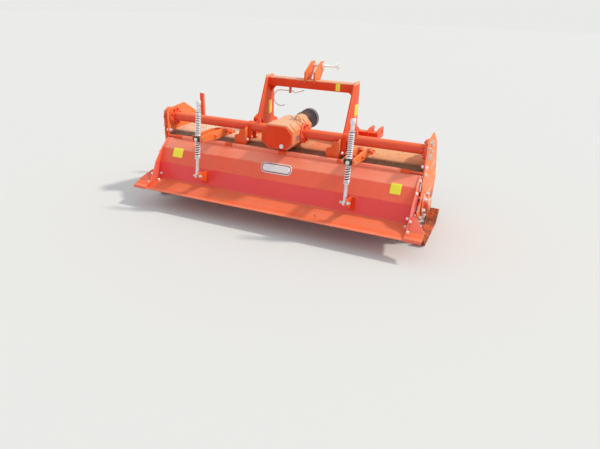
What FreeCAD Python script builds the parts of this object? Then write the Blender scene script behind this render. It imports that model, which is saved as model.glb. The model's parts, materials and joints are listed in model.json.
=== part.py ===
import FreeCAD, Part
import Sketcher
import math
import os
from FreeCAD import Placement, Rotation, Vector

# Rotary tiller, 2 m class, parked on its skids. Millimetres.
# X to the machine's right, Y the way it travels, Z up. Every piece is drawn from the hood's
# hinge line (Y = 0) and from the line of the hood's bottom edge (Z = 0), and then placed.

doc = FreeCAD.newDocument("rotary_tiller")
sheet = doc.addObject("Spreadsheet::Sheet", "sizes")

# alias, value
driving_sizes = (
    ("rear_reach", 343), ("front_reach", 740), ("sole_drop", 140),
    ("hood_width", 2000), ("side_gap", 12), ("side_skin", 10),
    ("hinge_z", 350), ("hinge_rod_radius", 8), ("knuckle_radius", 15), ("knuckle_length", 60),
    ("running_fit", 0.05), ("seam", 0.3),
    ("deck_skin", 5), ("deck_level", 388), ("deck_rear_bend", 150), ("deck_front_bend", 420),
    ("deck_nose_y", 585), ("deck_nose_z", 300), ("deck_lip_y", 600), ("deck_lip_z", 190),
    ("sheet_bend", 12),
    ("tube_y", 100), ("tube_z", 487), ("tube_radius", 35), ("tube_wall", 6),
    ("tube_flange_radius", 72), ("tube_flange_skin", 14),
    ("rotor_y", 125), ("rotor_z", 100), ("rotor_reach", 230), ("rotor_tube_radius", 44),
    ("rotor_stub_radius", 25), ("rotor_flange_radius", 95), ("rotor_flange_skin", 10),
    ("rotor_end_gap", 34), ("rotor_flanges", 9),
    ("blade_skin", 8), ("blade_width", 62), ("blade_throw", 72), ("blade_bend", 22),
    ("box_half", 115), ("box_rear", 95), ("box_front", 250), ("cover_skin", 15),
    ("neck_radius", 62), ("neck_front", 335),
    ("input_z", 512), ("input_radius", 17.45), ("input_front", 465),
    ("guard_radius", 67), ("guard_mouth_radius", 76), ("guard_skin", 4), ("guard_front", 497),
    ("case_top_radius", 56), ("case_low_radius", 84), ("case_depth", 44), ("case_rim", 10),
    ("case_cover_depth", 13),
    ("bearing_radius", 88), ("bearing_depth", 44),
    ("tower_half", 363), ("tower_skin", 15), ("tower_top", 820), ("tower_front", 568),
    ("bar_rear", 468), ("bar_depth", 92), ("bar_low", 739), ("bar_height", 66), ("bar_wall", 6),
    ("link_half_gap", 32), ("link_skin", 12), ("link_pin_radius", 12.7),
    ("link_pin_y", 612), ("link_pin_z", 903),
    ("hitch_half", 500), ("hitch_gap", 60), ("hitch_skin", 15), ("hitch_bore", 14.25),
    ("hitch_y", 700), ("hitch_z", 420), ("hitch_eye", 40),
    ("hood_skin", 5), ("end_skin", 6), ("wing_reach", 107),
    ("rod_half", 574), ("rod_radius", 12.5), ("rod_foot_y", -260), ("rod_foot_z", 155),
    ("collar_y", -228), ("collar_z", 428), ("rod_top", 538), ("rod_pin_radius", 8),
    ("rod_eye_radius", 20), ("rod_eye_skin", 14), ("rod_pin_slack", 2),
    ("collar_radius", 26), ("collar_height", 34), ("arm_half_gap", 28.3), ("arm_skin", 8),
    ("spring_radius", 21), ("spring_wire", 5), ("low_stop", 128), ("top_stop", 463),
    ("stop_height", 10),
    ("skid_width", 78), ("skid_skin", 8), ("skid_rear", -75), ("skid_front", 492),
    ("skid_rise", 75),
    ("stand_y", 550), ("stand_radius", 20), ("stand_wall", 4), ("stand_top", 603),
    ("stand_foot", -50), ("socket_low", 20), ("socket_high", 190), ("socket_wall", 5),
    ("hook_y", 500), ("hook_z", 706), ("hook_x", -178), ("hook_wire", 4.5), ("hook_ring", 62),
)
for row, (alias, value) in enumerate(driving_sizes, start=1):
    sheet.set("A%d" % row, alias)
    sheet.set("B%d" % row, str(value))
    sheet.setAlias("B%d" % row, alias)
doc.recompute()

subparts = []

# Places that several pieces share, as expressions on the sizes.
seat_y = "(sizes.rear_reach - sizes.front_reach) / 2"
seat_z = "sizes.sole_drop"
side_inner = "(sizes.hood_width / 2 + sizes.side_gap)"
side_outer = "(%s + sizes.side_skin)" % side_inner
sides = (("left", -1), ("right", 1))
plane_turns = {
    "YZ": Rotation(Vector(1, 1, 1), 120),
    "XZ": Rotation(Vector(1, 0, 0), 90),
    "XY": Rotation(),
}
axis_turns = {
    "X": Rotation(Vector(0, 1, 0), 90),
    "Y": Rotation(Vector(1, 0, 0), -90),
    "Z": Rotation(),
}


def size(alias):
    return float(sheet.get(alias))


def worked(expression):
    # The number that a size expression gives now.
    if isinstance(expression, str):
        return float(doc.sizes.evalExpression(expression))
    return float(expression)


def bind(item, prop, expression):
    # A size is an expression on the sheet, or a plain number.
    item.setExpression(prop, str(expression))


def locate(item, x=0, y=0, z=0):
    for axis, expression in (("x", x), ("y", y), ("z", z)):
        bind(item, ".Placement.Base." + axis, expression)


def finish(item, label, x=0):
    # A finished sub-part is named and moved from the hinge line to its place over the floor.
    item.Label = label
    locate(item, x, seat_y, seat_z)
    subparts.append(item)
    return item


def draw(sketch, corners, closed=True):
    # Straight lines through the corners, each corner tied to its two sizes.
    places = [Vector(worked(across), worked(up), 0) for across, up in corners]
    count = len(places) if closed else len(places) - 1
    for index in range(count):
        start, end = places[index], places[(index + 1) % len(places)]
        sketch.addGeometry(Part.LineSegment(start, end), False)
    for index in range(1, count):
        sketch.addConstraint(Sketcher.Constraint("Coincident", index - 1, 2, index, 1))
    if closed:
        sketch.addConstraint(Sketcher.Constraint("Coincident", count - 1, 2, 0, 1))
    for index, corner in enumerate(corners):
        line, end = (index, 1) if index < count else (count - 1, 2)
        for kind, expression, value in (
            ("DistanceX", corner[0], places[index].x), ("DistanceY", corner[1], places[index].y),
        ):
            number = sketch.addConstraint(Sketcher.Constraint(kind, -1, 1, line, end, value))
            if isinstance(expression, str):
                bind(sketch, "Constraints[%d]" % number, expression)
    return places


def circle(sketch, across, up, radius):
    centre = Vector(worked(across), worked(up), 0)
    index = sketch.addGeometry(Part.Circle(centre, Vector(0, 0, 1), worked(radius)), False)
    for kind, expression, value in (("DistanceX", across, centre.x), ("DistanceY", up, centre.y)):
        number = sketch.addConstraint(Sketcher.Constraint(kind, -1, 1, index, 3, value))
        bind(sketch, "Constraints[%d]" % number, expression)
    number = sketch.addConstraint(Sketcher.Constraint("Radius", index, worked(radius)))
    bind(sketch, "Constraints[%d]" % number, radius)


def origin_plane(body, role):
    return next(item for item in body.Origin.OriginFeatures if item.Role == role + "_Plane")


def body_sketch(body, plane, name):
    sketch = body.newObject("Sketcher::SketchObject", name)
    sketch.AttachmentSupport = (origin_plane(body, plane), [""])
    sketch.MapMode = "FlatFace"
    return sketch


def pad(body, plane, name, length, corners, circles=()):
    sketch = body_sketch(body, plane, name + "_outline")
    draw(sketch, corners)
    for across, up, radius in circles:
        circle(sketch, across, up, radius)
    feature = body.newObject("PartDesign::Pad", name + "_pad")
    feature.Profile = sketch
    bind(feature, "Length", length)
    return feature


def plate(label, skin, corners, holes=(), x=0, rounds=()):
    # A flat plate cut to an outline, with its corners at the given places rounded.
    body = doc.addObject("PartDesign::Body", label + "_body")
    feature = pad(body, "YZ", label, skin, corners, holes)
    if rounds:
        doc.recompute()
        for turn, (spot, radius) in enumerate(rounds):
            across, up = (worked(value) for value in spot)
            names = []
            for number, edge in enumerate(feature.Shape.Edges, start=1):
                ends = [vertex.Point for vertex in edge.Vertexes]
                near = [point for point in ends
                        if math.hypot(point.y - across, point.z - up) < 0.01]
                if len(near) == 2:
                    names.append("Edge%d" % number)
            fillet = body.newObject("PartDesign::Fillet", "%s_round_%d" % (label, turn))
            fillet.Base = (feature, names)
            bind(fillet, "Radius", radius)
            doc.recompute()
            feature = fillet
    return finish(body, label, x)


def rod(name, radius, length, x=0, y=0, z=0, axis="X"):
    item = doc.addObject("Part::Cylinder", name)
    bind(item, "Radius", radius)
    bind(item, "Height", length)
    item.Placement = Placement(Vector(), axis_turns[axis])
    locate(item, x, y, z)
    return item


def block(name, wide, deep, high, x=0, y=0, z=0):
    item = doc.addObject("Part::Box", name)
    for prop, expression in (("Length", wide), ("Width", deep), ("Height", high)):
        bind(item, prop, expression)
    locate(item, x, y, z)
    return item


def join(name, pieces):
    item = doc.addObject("Part::MultiFuse", name)
    item.Shapes = pieces
    item.Refine = True
    return item


def cut(name, base, tools):
    item = doc.addObject("Part::Cut", name)
    item.Base = base
    item.Tool = tools[0] if len(tools) == 1 else join(name + "_tools", tools)
    item.Refine = True
    return item


def slab(name, skin, corners, x=0, plane="YZ", midplane=False):
    # An outline given a thickness, as one piece of a larger sub-part.
    sketch = doc.addObject("Sketcher::SketchObject", name + "_outline")
    sketch.Placement = Placement(Vector(), plane_turns[plane])
    draw(sketch, corners)
    item = doc.addObject("Part::Extrusion", name)
    item.Base = sketch
    item.DirMode = "Normal"
    bind(item, "LengthFwd", skin)
    item.Solid = True
    item.Symmetric = midplane
    locate(item, x)
    return item


def rounded_run(points, radii):
    # Straight runs through the points, joined by tangent arcs of the given radii.
    runs, start = [], points[0]
    for before, corner, after, radius in zip(points, points[1:], points[2:], radii):
        back = (before - corner).normalize()
        ahead = (after - corner).normalize()
        half_turn = (math.pi - back.getAngle(ahead)) / 2
        reach = radius * math.tan(half_turn)
        first, last = corner + back * reach, corner + ahead * reach
        middle = (back + ahead).normalize()
        bulge = corner + middle * (radius / math.cos(half_turn) - radius)
        runs += [Part.LineSegment(start, first), Part.Arc(first, bulge, last)]
        start = last
    return runs + [Part.LineSegment(start, points[-1])]


def run_ends(run):
    # A sketch keeps each arc counterclockwise, whichever way it was drawn.
    middle = run.value((run.FirstParameter + run.LastParameter) / 2)
    turning = (middle - run.StartPoint).cross(run.EndPoint - middle).z
    clockwise = isinstance(run, Part.Arc) and turning < 0
    return (2, 1) if clockwise else (1, 2)


def sheet_metal(name, width, corners, skin, bend, under=True, x=0, midplane=True):
    # A bent sheet: a rounded line through the corners, with its skin under it or over it.
    line = [Vector(worked(across), worked(up), 0) for across, up in corners]
    thick, bend = worked(skin), worked(bend)
    side = 1 if under == (line[-1].x > line[0].x) else -1
    ways = [(after - before).normalize() for before, after in zip(line, line[1:])]
    normals = [Vector(way.y, -way.x, 0) * side for way in ways]
    mates = [line[0] + normals[0] * thick]
    line_radii, mate_radii = [], []
    for place, first, second, way in zip(line[1:], normals, normals[1:], ways):
        mates.append(place + (first + second) * (thick / (1 + first.dot(second))))
        line_outside = second.dot(way) < 0
        line_radii.append(bend + (thick if line_outside else 0))
        mate_radii.append(bend + (0 if line_outside else thick))
    mates.append(line[-1] + normals[-1] * thick)
    runs = rounded_run(line, line_radii) + [Part.LineSegment(line[-1], mates[-1])]
    runs += rounded_run(mates[::-1], mate_radii[::-1]) + [Part.LineSegment(mates[0], line[0])]
    sketch = doc.addObject("Sketcher::SketchObject", name + "_line")
    sketch.Placement = Placement(Vector(), plane_turns["YZ"])
    sketch.addGeometry(runs, False)
    for index in range(len(runs)):
        after = (index + 1) % len(runs)
        sketch.addConstraint(Sketcher.Constraint(
            "Coincident", index, run_ends(runs[index])[1], after, run_ends(runs[after])[0]))
    item = doc.addObject("Part::Extrusion", name)
    item.Base = sketch
    item.DirMode = "Normal"
    bind(item, "LengthFwd", width)
    item.Solid = True
    item.Symmetric = midplane
    locate(item, x)
    return item


def turned(label, profile, axis="Y", x=0, y=0, z=0):
    # A revolved body: profile corners are (along the axis, radius).
    body = doc.addObject("PartDesign::Body", label + "_body")
    sketch = body_sketch(body, "XY", label + "_profile")
    draw(sketch, profile)
    feature = body.newObject("PartDesign::Revolution", label + "_turned")
    feature.Profile = sketch
    feature.ReferenceAxis = (sketch, ["H_Axis"])
    feature.Angle = 360
    item = finish(body, label, x)
    turn = {"X": Rotation(), "Y": Rotation(Vector(0, 0, 1), 90)}[axis]
    item.Placement = Placement(Vector(), turn)
    locate(item, x, "%s + %s" % (seat_y, y), "%s + %s" % (seat_z, z))
    return item


# Hinge: knuckles of the deck and of the hood take turns along one rod.
knuckle_pitch = "((sizes.hood_width - 200) / 4)"


def deck_knuckle_x(index):
    return "(%d * %s)" % (index - 2, knuckle_pitch)


def knuckles(name, starts_and_lengths):
    outer = [
        rod("%s_%d" % (name, index), "sizes.knuckle_radius", length, start, 0, "sizes.hinge_z")
        for index, (start, length) in enumerate(starts_and_lengths)
    ]
    return outer


def hinge_clearing(name, starts_and_lengths):
    return [
        rod("%s_%d" % (name, index), "sizes.knuckle_radius + 2", length + " + 4",
            start + " - 2", 0, "sizes.hinge_z")
        for index, (start, length) in enumerate(starts_and_lengths)
    ]


deck_knuckles = [
    ("%s - sizes.knuckle_length / 2" % deck_knuckle_x(index), "sizes.knuckle_length")
    for index in range(5)
]
hood_knuckles = [
    ("%s + sizes.knuckle_length / 2 + 1.5" % deck_knuckle_x(index),
     "%s - sizes.knuckle_length - 3" % knuckle_pitch)
    for index in range(4)
]
hinge_bore_radius = "sizes.hinge_rod_radius + sizes.running_fit"


def hinge_bore(name):
    return rod(name, hinge_bore_radius, "sizes.hood_width", "-sizes.hood_width / 2", 0, "sizes.hinge_z")


hinge_rod = rod("hinge_rod_bar", "sizes.hinge_rod_radius", "2 * %s" % side_inner,
                "-" + side_inner, 0, "sizes.hinge_z")
finish(join("hinge_rod_piece", [hinge_rod, rod(
    "hinge_rod_head", "sizes.hinge_rod_radius + 3", 6, "-%s" % side_inner, 0, "sizes.hinge_z")]),
    "hinge_rod")

# Deck: the bent cover over the rotor, welded between the side plates.
deck_line = [
    (12, "sizes.hinge_z + 5"), ("sizes.deck_rear_bend", "sizes.deck_level"),
    ("sizes.deck_front_bend", "sizes.deck_level"), ("sizes.deck_nose_y", "sizes.deck_nose_z"),
    ("sizes.deck_lip_y", "sizes.deck_lip_z"),
]
deck_sheet = sheet_metal("deck_sheet", "2 * " + side_inner, deck_line, "sizes.deck_skin",
                         "sizes.sheet_bend")
deck_cleared = cut("deck_cleared", deck_sheet, hinge_clearing("deck_notch", hood_knuckles))
deck_solid = join("deck_solid", [deck_cleared] + knuckles("deck_knuckle", deck_knuckles))
finish(cut("main_deck_piece", deck_solid, [hinge_bore("deck_hinge_bore")]), "main_deck")

# Side plates: pentagon tops, a long front edge and a tail that reaches the skid.
side_corners = [
    (8, 555), (240, 575), (405, 478), (600, 150), (560, 10), (440, -45), (-20, -45), (-60, 0),
    (-60, 90), (8, 160),
]
for side, hand in sides:
    holes = [("sizes.rotor_y", "sizes.rotor_z", "sizes.rotor_stub_radius + 8")]
    if hand < 0:
        holes.append(("sizes.tube_y", "sizes.tube_z", "sizes.tube_radius - sizes.tube_wall"))
    face = side_inner if hand > 0 else "-" + side_outer
    plate(side + "_side_plate", "sizes.side_skin", side_corners, holes, face,
          rounds=[((600, 150), 40), ((560, 10), 60), ((440, -45), 60)])

# Cross tubes: flanged at the gearbox and at the side plates.
for side, hand in sides:
    inner, outer = "sizes.box_half", side_inner
    profile = [
        (inner, "sizes.tube_radius - sizes.tube_wall"), (inner, "sizes.tube_flange_radius"),
        (inner + " + sizes.tube_flange_skin", "sizes.tube_flange_radius"),
        (inner + " + sizes.tube_flange_skin", "sizes.tube_radius"),
        (outer + " - sizes.tube_flange_skin", "sizes.tube_radius"),
        (outer + " - sizes.tube_flange_skin", "sizes.tube_flange_radius"),
        (outer, "sizes.tube_flange_radius"), (outer, "sizes.tube_radius - sizes.tube_wall"),
    ]
    if hand < 0:
        profile = [("-(%s)" % along, radius) for along, radius in profile]
    turned(side + "_cross_tube", profile, "X", 0, "sizes.tube_y", "sizes.tube_z")

# Gearbox: a cast housing with sloped shoulders, its rear cover and the input neck.
box_corners = [
    ("-sizes.box_half", 440), ("-sizes.box_half", 530), (-80, 572), (70, 572),
    ("sizes.box_half", 530), ("sizes.box_half", 440), (75, 400), (-75, 400),
]
box_block = slab("box_block", "sizes.box_rear + sizes.box_front", box_corners, 0, "XZ")
bind(box_block, ".Placement.Base.y", "sizes.box_front")
neck = rod("box_neck", "sizes.neck_radius", "sizes.neck_front - sizes.box_front", 0,
           "sizes.box_front", "sizes.input_z", "Y")
neck_bore = rod("box_neck_bore", "sizes.input_radius + 8 + sizes.running_fit", 60, 0,
                "sizes.neck_front - 60", "sizes.input_z", "Y")
feet = [block("box_foot_%d" % index, 60, 50, "400 - sizes.deck_level", x, 160, "sizes.deck_level")
        for index, x in enumerate((-75, 15))]
lifting_lug = slab("box_lifting_lug", 14, [
    (36, 565), (36, 584), (52, 606), (72, 606), (88, 584), (88, 560),
], 0, "XZ")
bind(lifting_lug, ".Placement.Base.y", 117)
lifting_eye = rod("box_lifting_eye", 11, 40, 62, 90, 588, "Y")
finish(cut("gearbox_piece", join("box_solid", [box_block, neck, lifting_lug] + feet),
           [neck_bore, lifting_eye]), "gearbox_housing")

cover_corners = [
    (-122, 452), (-118, 500), (-80, 566), (67, 566), (114, 521), (111, 458), (71, 406), (-63, 406),
]
cover = slab("cover_block", "sizes.cover_skin", cover_corners, 0, "XZ")
finish(cover, "gearbox_cover")
bind(cover, ".Placement.Base.y", seat_y + " - sizes.box_rear")

# Input shaft: six splines cut in its nose.
spline_length = 75
shaft_bar = join("shaft_bar", [
    rod("shaft_journal", "sizes.input_radius + 8", 55, 0, "sizes.neck_front - 55",
        "sizes.input_z", "Y"),
    rod("shaft_nose", "sizes.input_radius", "sizes.input_front - sizes.neck_front", 0,
        "sizes.neck_front", "sizes.input_z", "Y"),
])
spline_cuts = []
for index in range(6):
    groove = block("spline_groove_%d" % index, 9, spline_length, 6)
    angle = index * 60
    reach = size("input_radius") - 2.4
    turn = Rotation(Vector(0, 1, 0), angle)
    corner = turn.multVec(Vector(-4.5, 0, reach))
    groove.Placement = Placement(corner, turn)
    locate(groove, corner.x, "sizes.input_front - %d" % spline_length,
           "sizes.input_z + %f" % corner.z)
    spline_cuts.append(groove)
finish(cut("input_shaft_piece", shaft_bar, spline_cuts), "input_shaft")

# Input guard: an open cup around the shaft, bolted to the neck.
guard_back = "sizes.neck_front"
turned("input_guard", [
    (guard_back, "sizes.input_radius + 14"), (guard_back, "sizes.guard_radius"),
    ("sizes.guard_front - 40", "sizes.guard_mouth_radius - 4"),
    ("sizes.guard_front", "sizes.guard_mouth_radius"),
    ("sizes.guard_front", "sizes.guard_mouth_radius - sizes.guard_skin"),
    ("sizes.guard_front - 40", "sizes.guard_mouth_radius - 4 - sizes.guard_skin"),
    (guard_back + " + 4", "sizes.guard_radius - sizes.guard_skin"),
    (guard_back + " + 4", "sizes.input_radius + 14"),
], "Y", 0, 0, "sizes.input_z")


# Gear case on the left: a two-lobed case from the cross tube down to the rotor.
def lobes(name, depth, extra, x):
    upper = (size("tube_y"), size("tube_z"), size("case_top_radius") + extra)
    lower = (size("rotor_y"), size("rotor_z"), size("case_low_radius") + extra)
    dy, dz = lower[0] - upper[0], lower[1] - upper[1]
    span = math.hypot(dy, dz)
    along = math.atan2(dz, dy)
    open_angle = math.acos((upper[2] - lower[2]) / span)
    points = {}
    for key, sign in (("a", 1), ("b", -1)):
        angle = along + sign * open_angle
        for which, (cy, cz, radius) in (("upper", upper), ("lower", lower)):
            points[which + key] = Vector(0, cy + radius * math.cos(angle), cz + radius * math.sin(angle))
    top = Vector(0, upper[0] - upper[2] * dy / span, upper[1] - upper[2] * dz / span)
    low = Vector(0, lower[0] + lower[2] * dy / span, lower[1] + lower[2] * dz / span)
    wire = Part.Wire([
        Part.LineSegment(points["lowera"], points["uppera"]).toShape(),
        Part.Arc(points["uppera"], top, points["upperb"]).toShape(),
        Part.LineSegment(points["upperb"], points["lowerb"]).toShape(),
        Part.Arc(points["lowerb"], low, points["lowera"]).toShape(),
    ])
    solid = Part.Face(wire).extrude(Vector(depth, 0, 0))
    solid.translate(Vector(x, 0, 0))
    return solid


case_face = -worked(side_outer) - size("case_depth")
case_rim_skin, cover_rim_skin, dish_step, dish_round = 7, 5, 8, 7
stub_bore = size("rotor_stub_radius") + size("running_fit")
case_shape = lobes("case", size("case_depth"), 0, case_face).fuse(
    lobes("rim", case_rim_skin, size("case_rim"), case_face)).removeSplitter()
bearing_room = Part.makeCylinder(stub_bore, size("case_depth") - dish_step,
                                 Vector(-worked(side_outer), size("rotor_y"), size("rotor_z")),
                                 Vector(-1, 0, 0))
gear_case = doc.addObject("Part::Feature", "gear_case_piece")
gear_case.Shape = case_shape.cut(bearing_room)
finish(gear_case, "gear_case")
dish_face = case_face - size("case_cover_depth")
cover_shape = lobes("cover_rim", cover_rim_skin, size("case_rim"), case_face - cover_rim_skin).fuse(
    lobes("cover_dish", size("case_cover_depth"), -dish_step, dish_face)).removeSplitter()
dish_edges = [edge for edge in cover_shape.Edges
              if all(abs(v.Point.x - dish_face) < 0.01 for v in edge.Vertexes)]
gear_cover = doc.addObject("Part::Feature", "gear_case_cover_piece")
gear_cover.Shape = cover_shape.makeFillet(dish_round, dish_edges)
finish(gear_cover, "gear_case_cover")

# Right bearing housing: flanged hub with a domed cap outside the right plate.
bearing_end = side_outer + " + sizes.bearing_depth"
bearing_bore = "sizes.rotor_stub_radius + sizes.running_fit"
turned("right_bearing_housing", [
    (side_outer, bearing_bore), (side_outer, "sizes.bearing_radius"),
    (side_outer + " + 12", "sizes.bearing_radius"), (side_outer + " + 14", 60),
    (bearing_end, 52), (bearing_end + " + 8", 40), (bearing_end + " + 8", 0),
    (bearing_end + " - 4", 0), (bearing_end + " - 4", bearing_bore),
], "X", 0, "sizes.rotor_y", "sizes.rotor_z")

# Rotor: tube with stub ends and nine blade flanges.
rotor_end = "(%s - sizes.rotor_end_gap)" % side_inner
rotor_tube = join("rotor_tube", [
    rod("rotor_barrel", "sizes.rotor_tube_radius", "2 * %s" % rotor_end, "-" + rotor_end,
        "sizes.rotor_y", "sizes.rotor_z"),
    rod("rotor_axle", "sizes.rotor_stub_radius", "2 * (%s + 34)" % side_outer,
        "-(%s + 34)" % side_outer, "sizes.rotor_y", "sizes.rotor_z"),
])
flange_count = int(size("rotor_flanges"))
flange_pitch = "(2 * %s - sizes.rotor_flange_skin) / (sizes.rotor_flanges - 1)" % rotor_end
flange_discs = [
    rod("rotor_flange_%d" % index, "sizes.rotor_flange_radius", "sizes.rotor_flange_skin",
        "-%s + %d * %s" % (rotor_end, index, flange_pitch), "sizes.rotor_y", "sizes.rotor_z")
    for index in range(flange_count)
]
finish(join("rotor_piece", [rotor_tube] + flange_discs), "rotor_shaft")


# Rotor blades: L-shaped, six to a flange, half thrown to each side, tips swept back.
def blade_shape():
    skin, width, throw = size("blade_skin"), size("blade_width"), size("blade_throw")
    bend, reach = size("blade_bend"), size("rotor_reach")
    root = size("rotor_tube_radius") + 6
    # Across the rotor: a shank, a round bend and the cutting tip.
    outer = bend + skin
    half = math.sqrt(0.5)
    lines = [
        Part.LineSegment(Vector(0, 0, root), Vector(0, 0, reach - outer)),
        Part.Arc(Vector(0, 0, reach - outer),
                 Vector(outer - outer * half, 0, reach - outer + outer * half),
                 Vector(outer, 0, reach)),
        Part.LineSegment(Vector(outer, 0, reach), Vector(throw, 0, reach - 6)),
        Part.LineSegment(Vector(throw, 0, reach - 6), Vector(throw, 0, reach - 6 - skin)),
        Part.LineSegment(Vector(throw, 0, reach - 6 - skin), Vector(outer, 0, reach - skin)),
        Part.Arc(Vector(outer, 0, reach - skin),
                 Vector(outer - bend * half, 0, reach - outer + bend * half),
                 Vector(skin, 0, reach - outer)),
        Part.LineSegment(Vector(skin, 0, reach - outer), Vector(skin, 0, root)),
        Part.LineSegment(Vector(skin, 0, root), Vector(0, 0, root)),
    ]
    wall = Part.Face(Part.Wire([line.toShape() for line in lines]))
    wall = wall.extrude(Vector(0, 3 * width, 0))
    wall.translate(Vector(0, -1.5 * width, 0))
    # Seen along the rotor: a straight shank that curves back to the cutting edge.
    side = [
        Part.LineSegment(Vector(0, -width / 2, root - 5), Vector(0, -width / 2, reach * 0.55)),
        Part.Arc(Vector(0, -width / 2, reach * 0.55), Vector(0, -width * 0.62, reach * 0.8),
                 Vector(0, -width * 0.95, reach + 5)),
        Part.LineSegment(Vector(0, -width * 0.95, reach + 5), Vector(0, 0, reach + 5)),
        Part.Arc(Vector(0, 0, reach + 5), Vector(0, width * 0.3, reach * 0.8),
                 Vector(0, width / 2, reach * 0.55)),
        Part.LineSegment(Vector(0, width / 2, reach * 0.55), Vector(0, width / 2, root - 5)),
        Part.LineSegment(Vector(0, width / 2, root - 5), Vector(0, -width / 2, root - 5)),
    ]
    outline = Part.Face(Part.Wire([line.toShape() for line in side]))
    outline = outline.extrude(Vector(throw + 10, 0, 0))
    outline.translate(Vector(-1, 0, 0))
    # The tip is ground to the circle that it runs in.
    swept = Part.makeCylinder(reach, throw + 20, Vector(-5, 0, 0), Vector(1, 0, 0))
    return wall.common(outline).common(swept)


one_blade = blade_shape()
mirrored_blade = one_blade.mirror(Vector(), Vector(1, 0, 0))
blade_solids = []
for index in range(flange_count):
    flange_x = worked("-%s + %d * %s" % (rotor_end, index, flange_pitch))
    for number in range(6):
        outward = number % 2 == 0
        if index == 0:
            outward = True
        if index == flange_count - 1:
            outward = False
        blade = (one_blade if outward else mirrored_blade).copy()
        blade.rotate(Vector(), Vector(1, 0, 0), number * 60 + index * 23)
        face = size("rotor_flange_skin") if outward else 0
        blade.translate(Vector(flange_x + face, size("rotor_y"), size("rotor_z")))
        blade_solids.append(blade)
rotor_blades = doc.addObject("Part::Feature", "rotor_blades_piece")
rotor_blades.Shape = Part.makeCompound(blade_solids)
finish(rotor_blades, "rotor_blades")

# Tower: two tapered plates with a box bar across their tops.
tower_foot = [
    (200, "sizes.deck_level"), (290, 500), ("sizes.bar_rear - 15", "sizes.tower_top"),
    ("sizes.tower_front", "sizes.tower_top"), ("sizes.tower_front", 480),
    ("sizes.hitch_y - 60", "sizes.hitch_z + 30"), ("sizes.hitch_y - 60", "sizes.hitch_z - 40"),
    ("sizes.deck_nose_y", "sizes.deck_nose_z"), ("sizes.deck_front_bend", "sizes.deck_level"),
]
for side, hand in sides:
    plate(side + "_tower_plate", "sizes.tower_skin", tower_foot, (),
          "%d * sizes.tower_half - sizes.tower_skin / 2" % hand,
          rounds=[(("sizes.tower_front", "sizes.tower_top"), 12)])

bar_half = "(sizes.tower_half - sizes.tower_skin / 2)"
bar_outer = block("bar_outer", "2 * " + bar_half, "sizes.bar_depth", "sizes.bar_height",
                  "-" + bar_half, "sizes.bar_rear", "sizes.bar_low")
bar_inner = block("bar_inner", "2 * " + bar_half, "sizes.bar_depth - 2 * sizes.bar_wall",
                  "sizes.bar_height - 2 * sizes.bar_wall", "-" + bar_half,
                  "sizes.bar_rear + sizes.bar_wall", "sizes.bar_low + sizes.bar_wall")
hook_lug = block("hook_lug", 10, 30, "sizes.bar_low - sizes.hook_z + 16", "sizes.hook_x - 5",
                 "sizes.hook_y - 15", "sizes.hook_z - 16")
gussets = []
for side, hand in sides:
    gusset = slab(side + "_bar_gusset", 10, [
        ("%d * %s" % (hand, bar_half), "sizes.bar_low - 55"),
        ("%d * %s" % (hand, bar_half), "sizes.bar_low"),
        ("%d * (%s - 55)" % (hand, bar_half), "sizes.bar_low"),
        ("%d * (%s - 40)" % (hand, bar_half), "sizes.bar_low - 14"),
    ], 0, "XZ")
    bind(gusset, ".Placement.Base.y", "sizes.bar_rear + 50")
    gussets.append(gusset)
hook_bore = rod("hook_lug_bore", "sizes.hook_wire + sizes.running_fit", 30, "sizes.hook_x - 15",
                "sizes.hook_y", "sizes.hook_z")
finish(cut("tower_bar_piece", join("bar_and_lug", [bar_outer, hook_lug] + gussets), [bar_inner, hook_bore]),
       "tower_cross_bar")

# Top link lugs: two plates hooked over the bar, with the pin across them.
bar_top = "(sizes.bar_low + sizes.bar_height)"
lug_corners = [
    ("sizes.bar_rear - 15", bar_top + " - 22"), ("sizes.bar_rear - 15", bar_top + " + 60"),
    ("sizes.link_pin_y - 30", "sizes.link_pin_z + 32"),
    ("sizes.link_pin_y + 30", "sizes.link_pin_z + 32"), ("sizes.link_pin_y + 34", "sizes.link_pin_z - 25"),
    ("sizes.bar_rear + sizes.bar_depth + 15", bar_top),
    ("sizes.bar_rear + sizes.bar_depth + 15", bar_top + " - 40"),
    ("sizes.bar_rear + sizes.bar_depth", bar_top + " - 40"), ("sizes.bar_rear + sizes.bar_depth", bar_top),
    ("sizes.bar_rear", bar_top), ("sizes.bar_rear", bar_top + " - 22"),
]
lugs = [
    slab("right_link_lug", "sizes.link_skin", lug_corners, "sizes.link_half_gap"),
    slab("left_link_lug", "sizes.link_skin", lug_corners, "-sizes.link_half_gap - sizes.link_skin"),
]
link_bore = rod("link_bore", "sizes.link_pin_radius + sizes.running_fit", 200, -100,
                "sizes.link_pin_y", "sizes.link_pin_z")
finish(cut("top_link_piece", join("link_lugs", lugs), [link_bore]), "top_link_lugs")
pin_washer, pin_washer_skin = 24, 9
pin_parts = [
    rod("link_pin_bar", "sizes.link_pin_radius", "2 * (sizes.link_half_gap + sizes.link_skin) + 40",
        "-sizes.link_half_gap - sizes.link_skin - 20", "sizes.link_pin_y", "sizes.link_pin_z"),
    rod("link_pin_washer", pin_washer, pin_washer_skin,
        "-sizes.link_half_gap - sizes.link_skin - %d" % pin_washer_skin, "sizes.link_pin_y",
        "sizes.link_pin_z"),
    rod("link_pin_head", pin_washer, pin_washer_skin, "sizes.link_half_gap + sizes.link_skin",
        "sizes.link_pin_y", "sizes.link_pin_z"),
    rod("link_pin_handle", 7, 130, "sizes.link_half_gap + sizes.link_skin + 19",
        "sizes.link_pin_y", "sizes.link_pin_z"),
]
finish(join("top_link_pin_piece", pin_parts), "top_link_pin")

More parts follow.
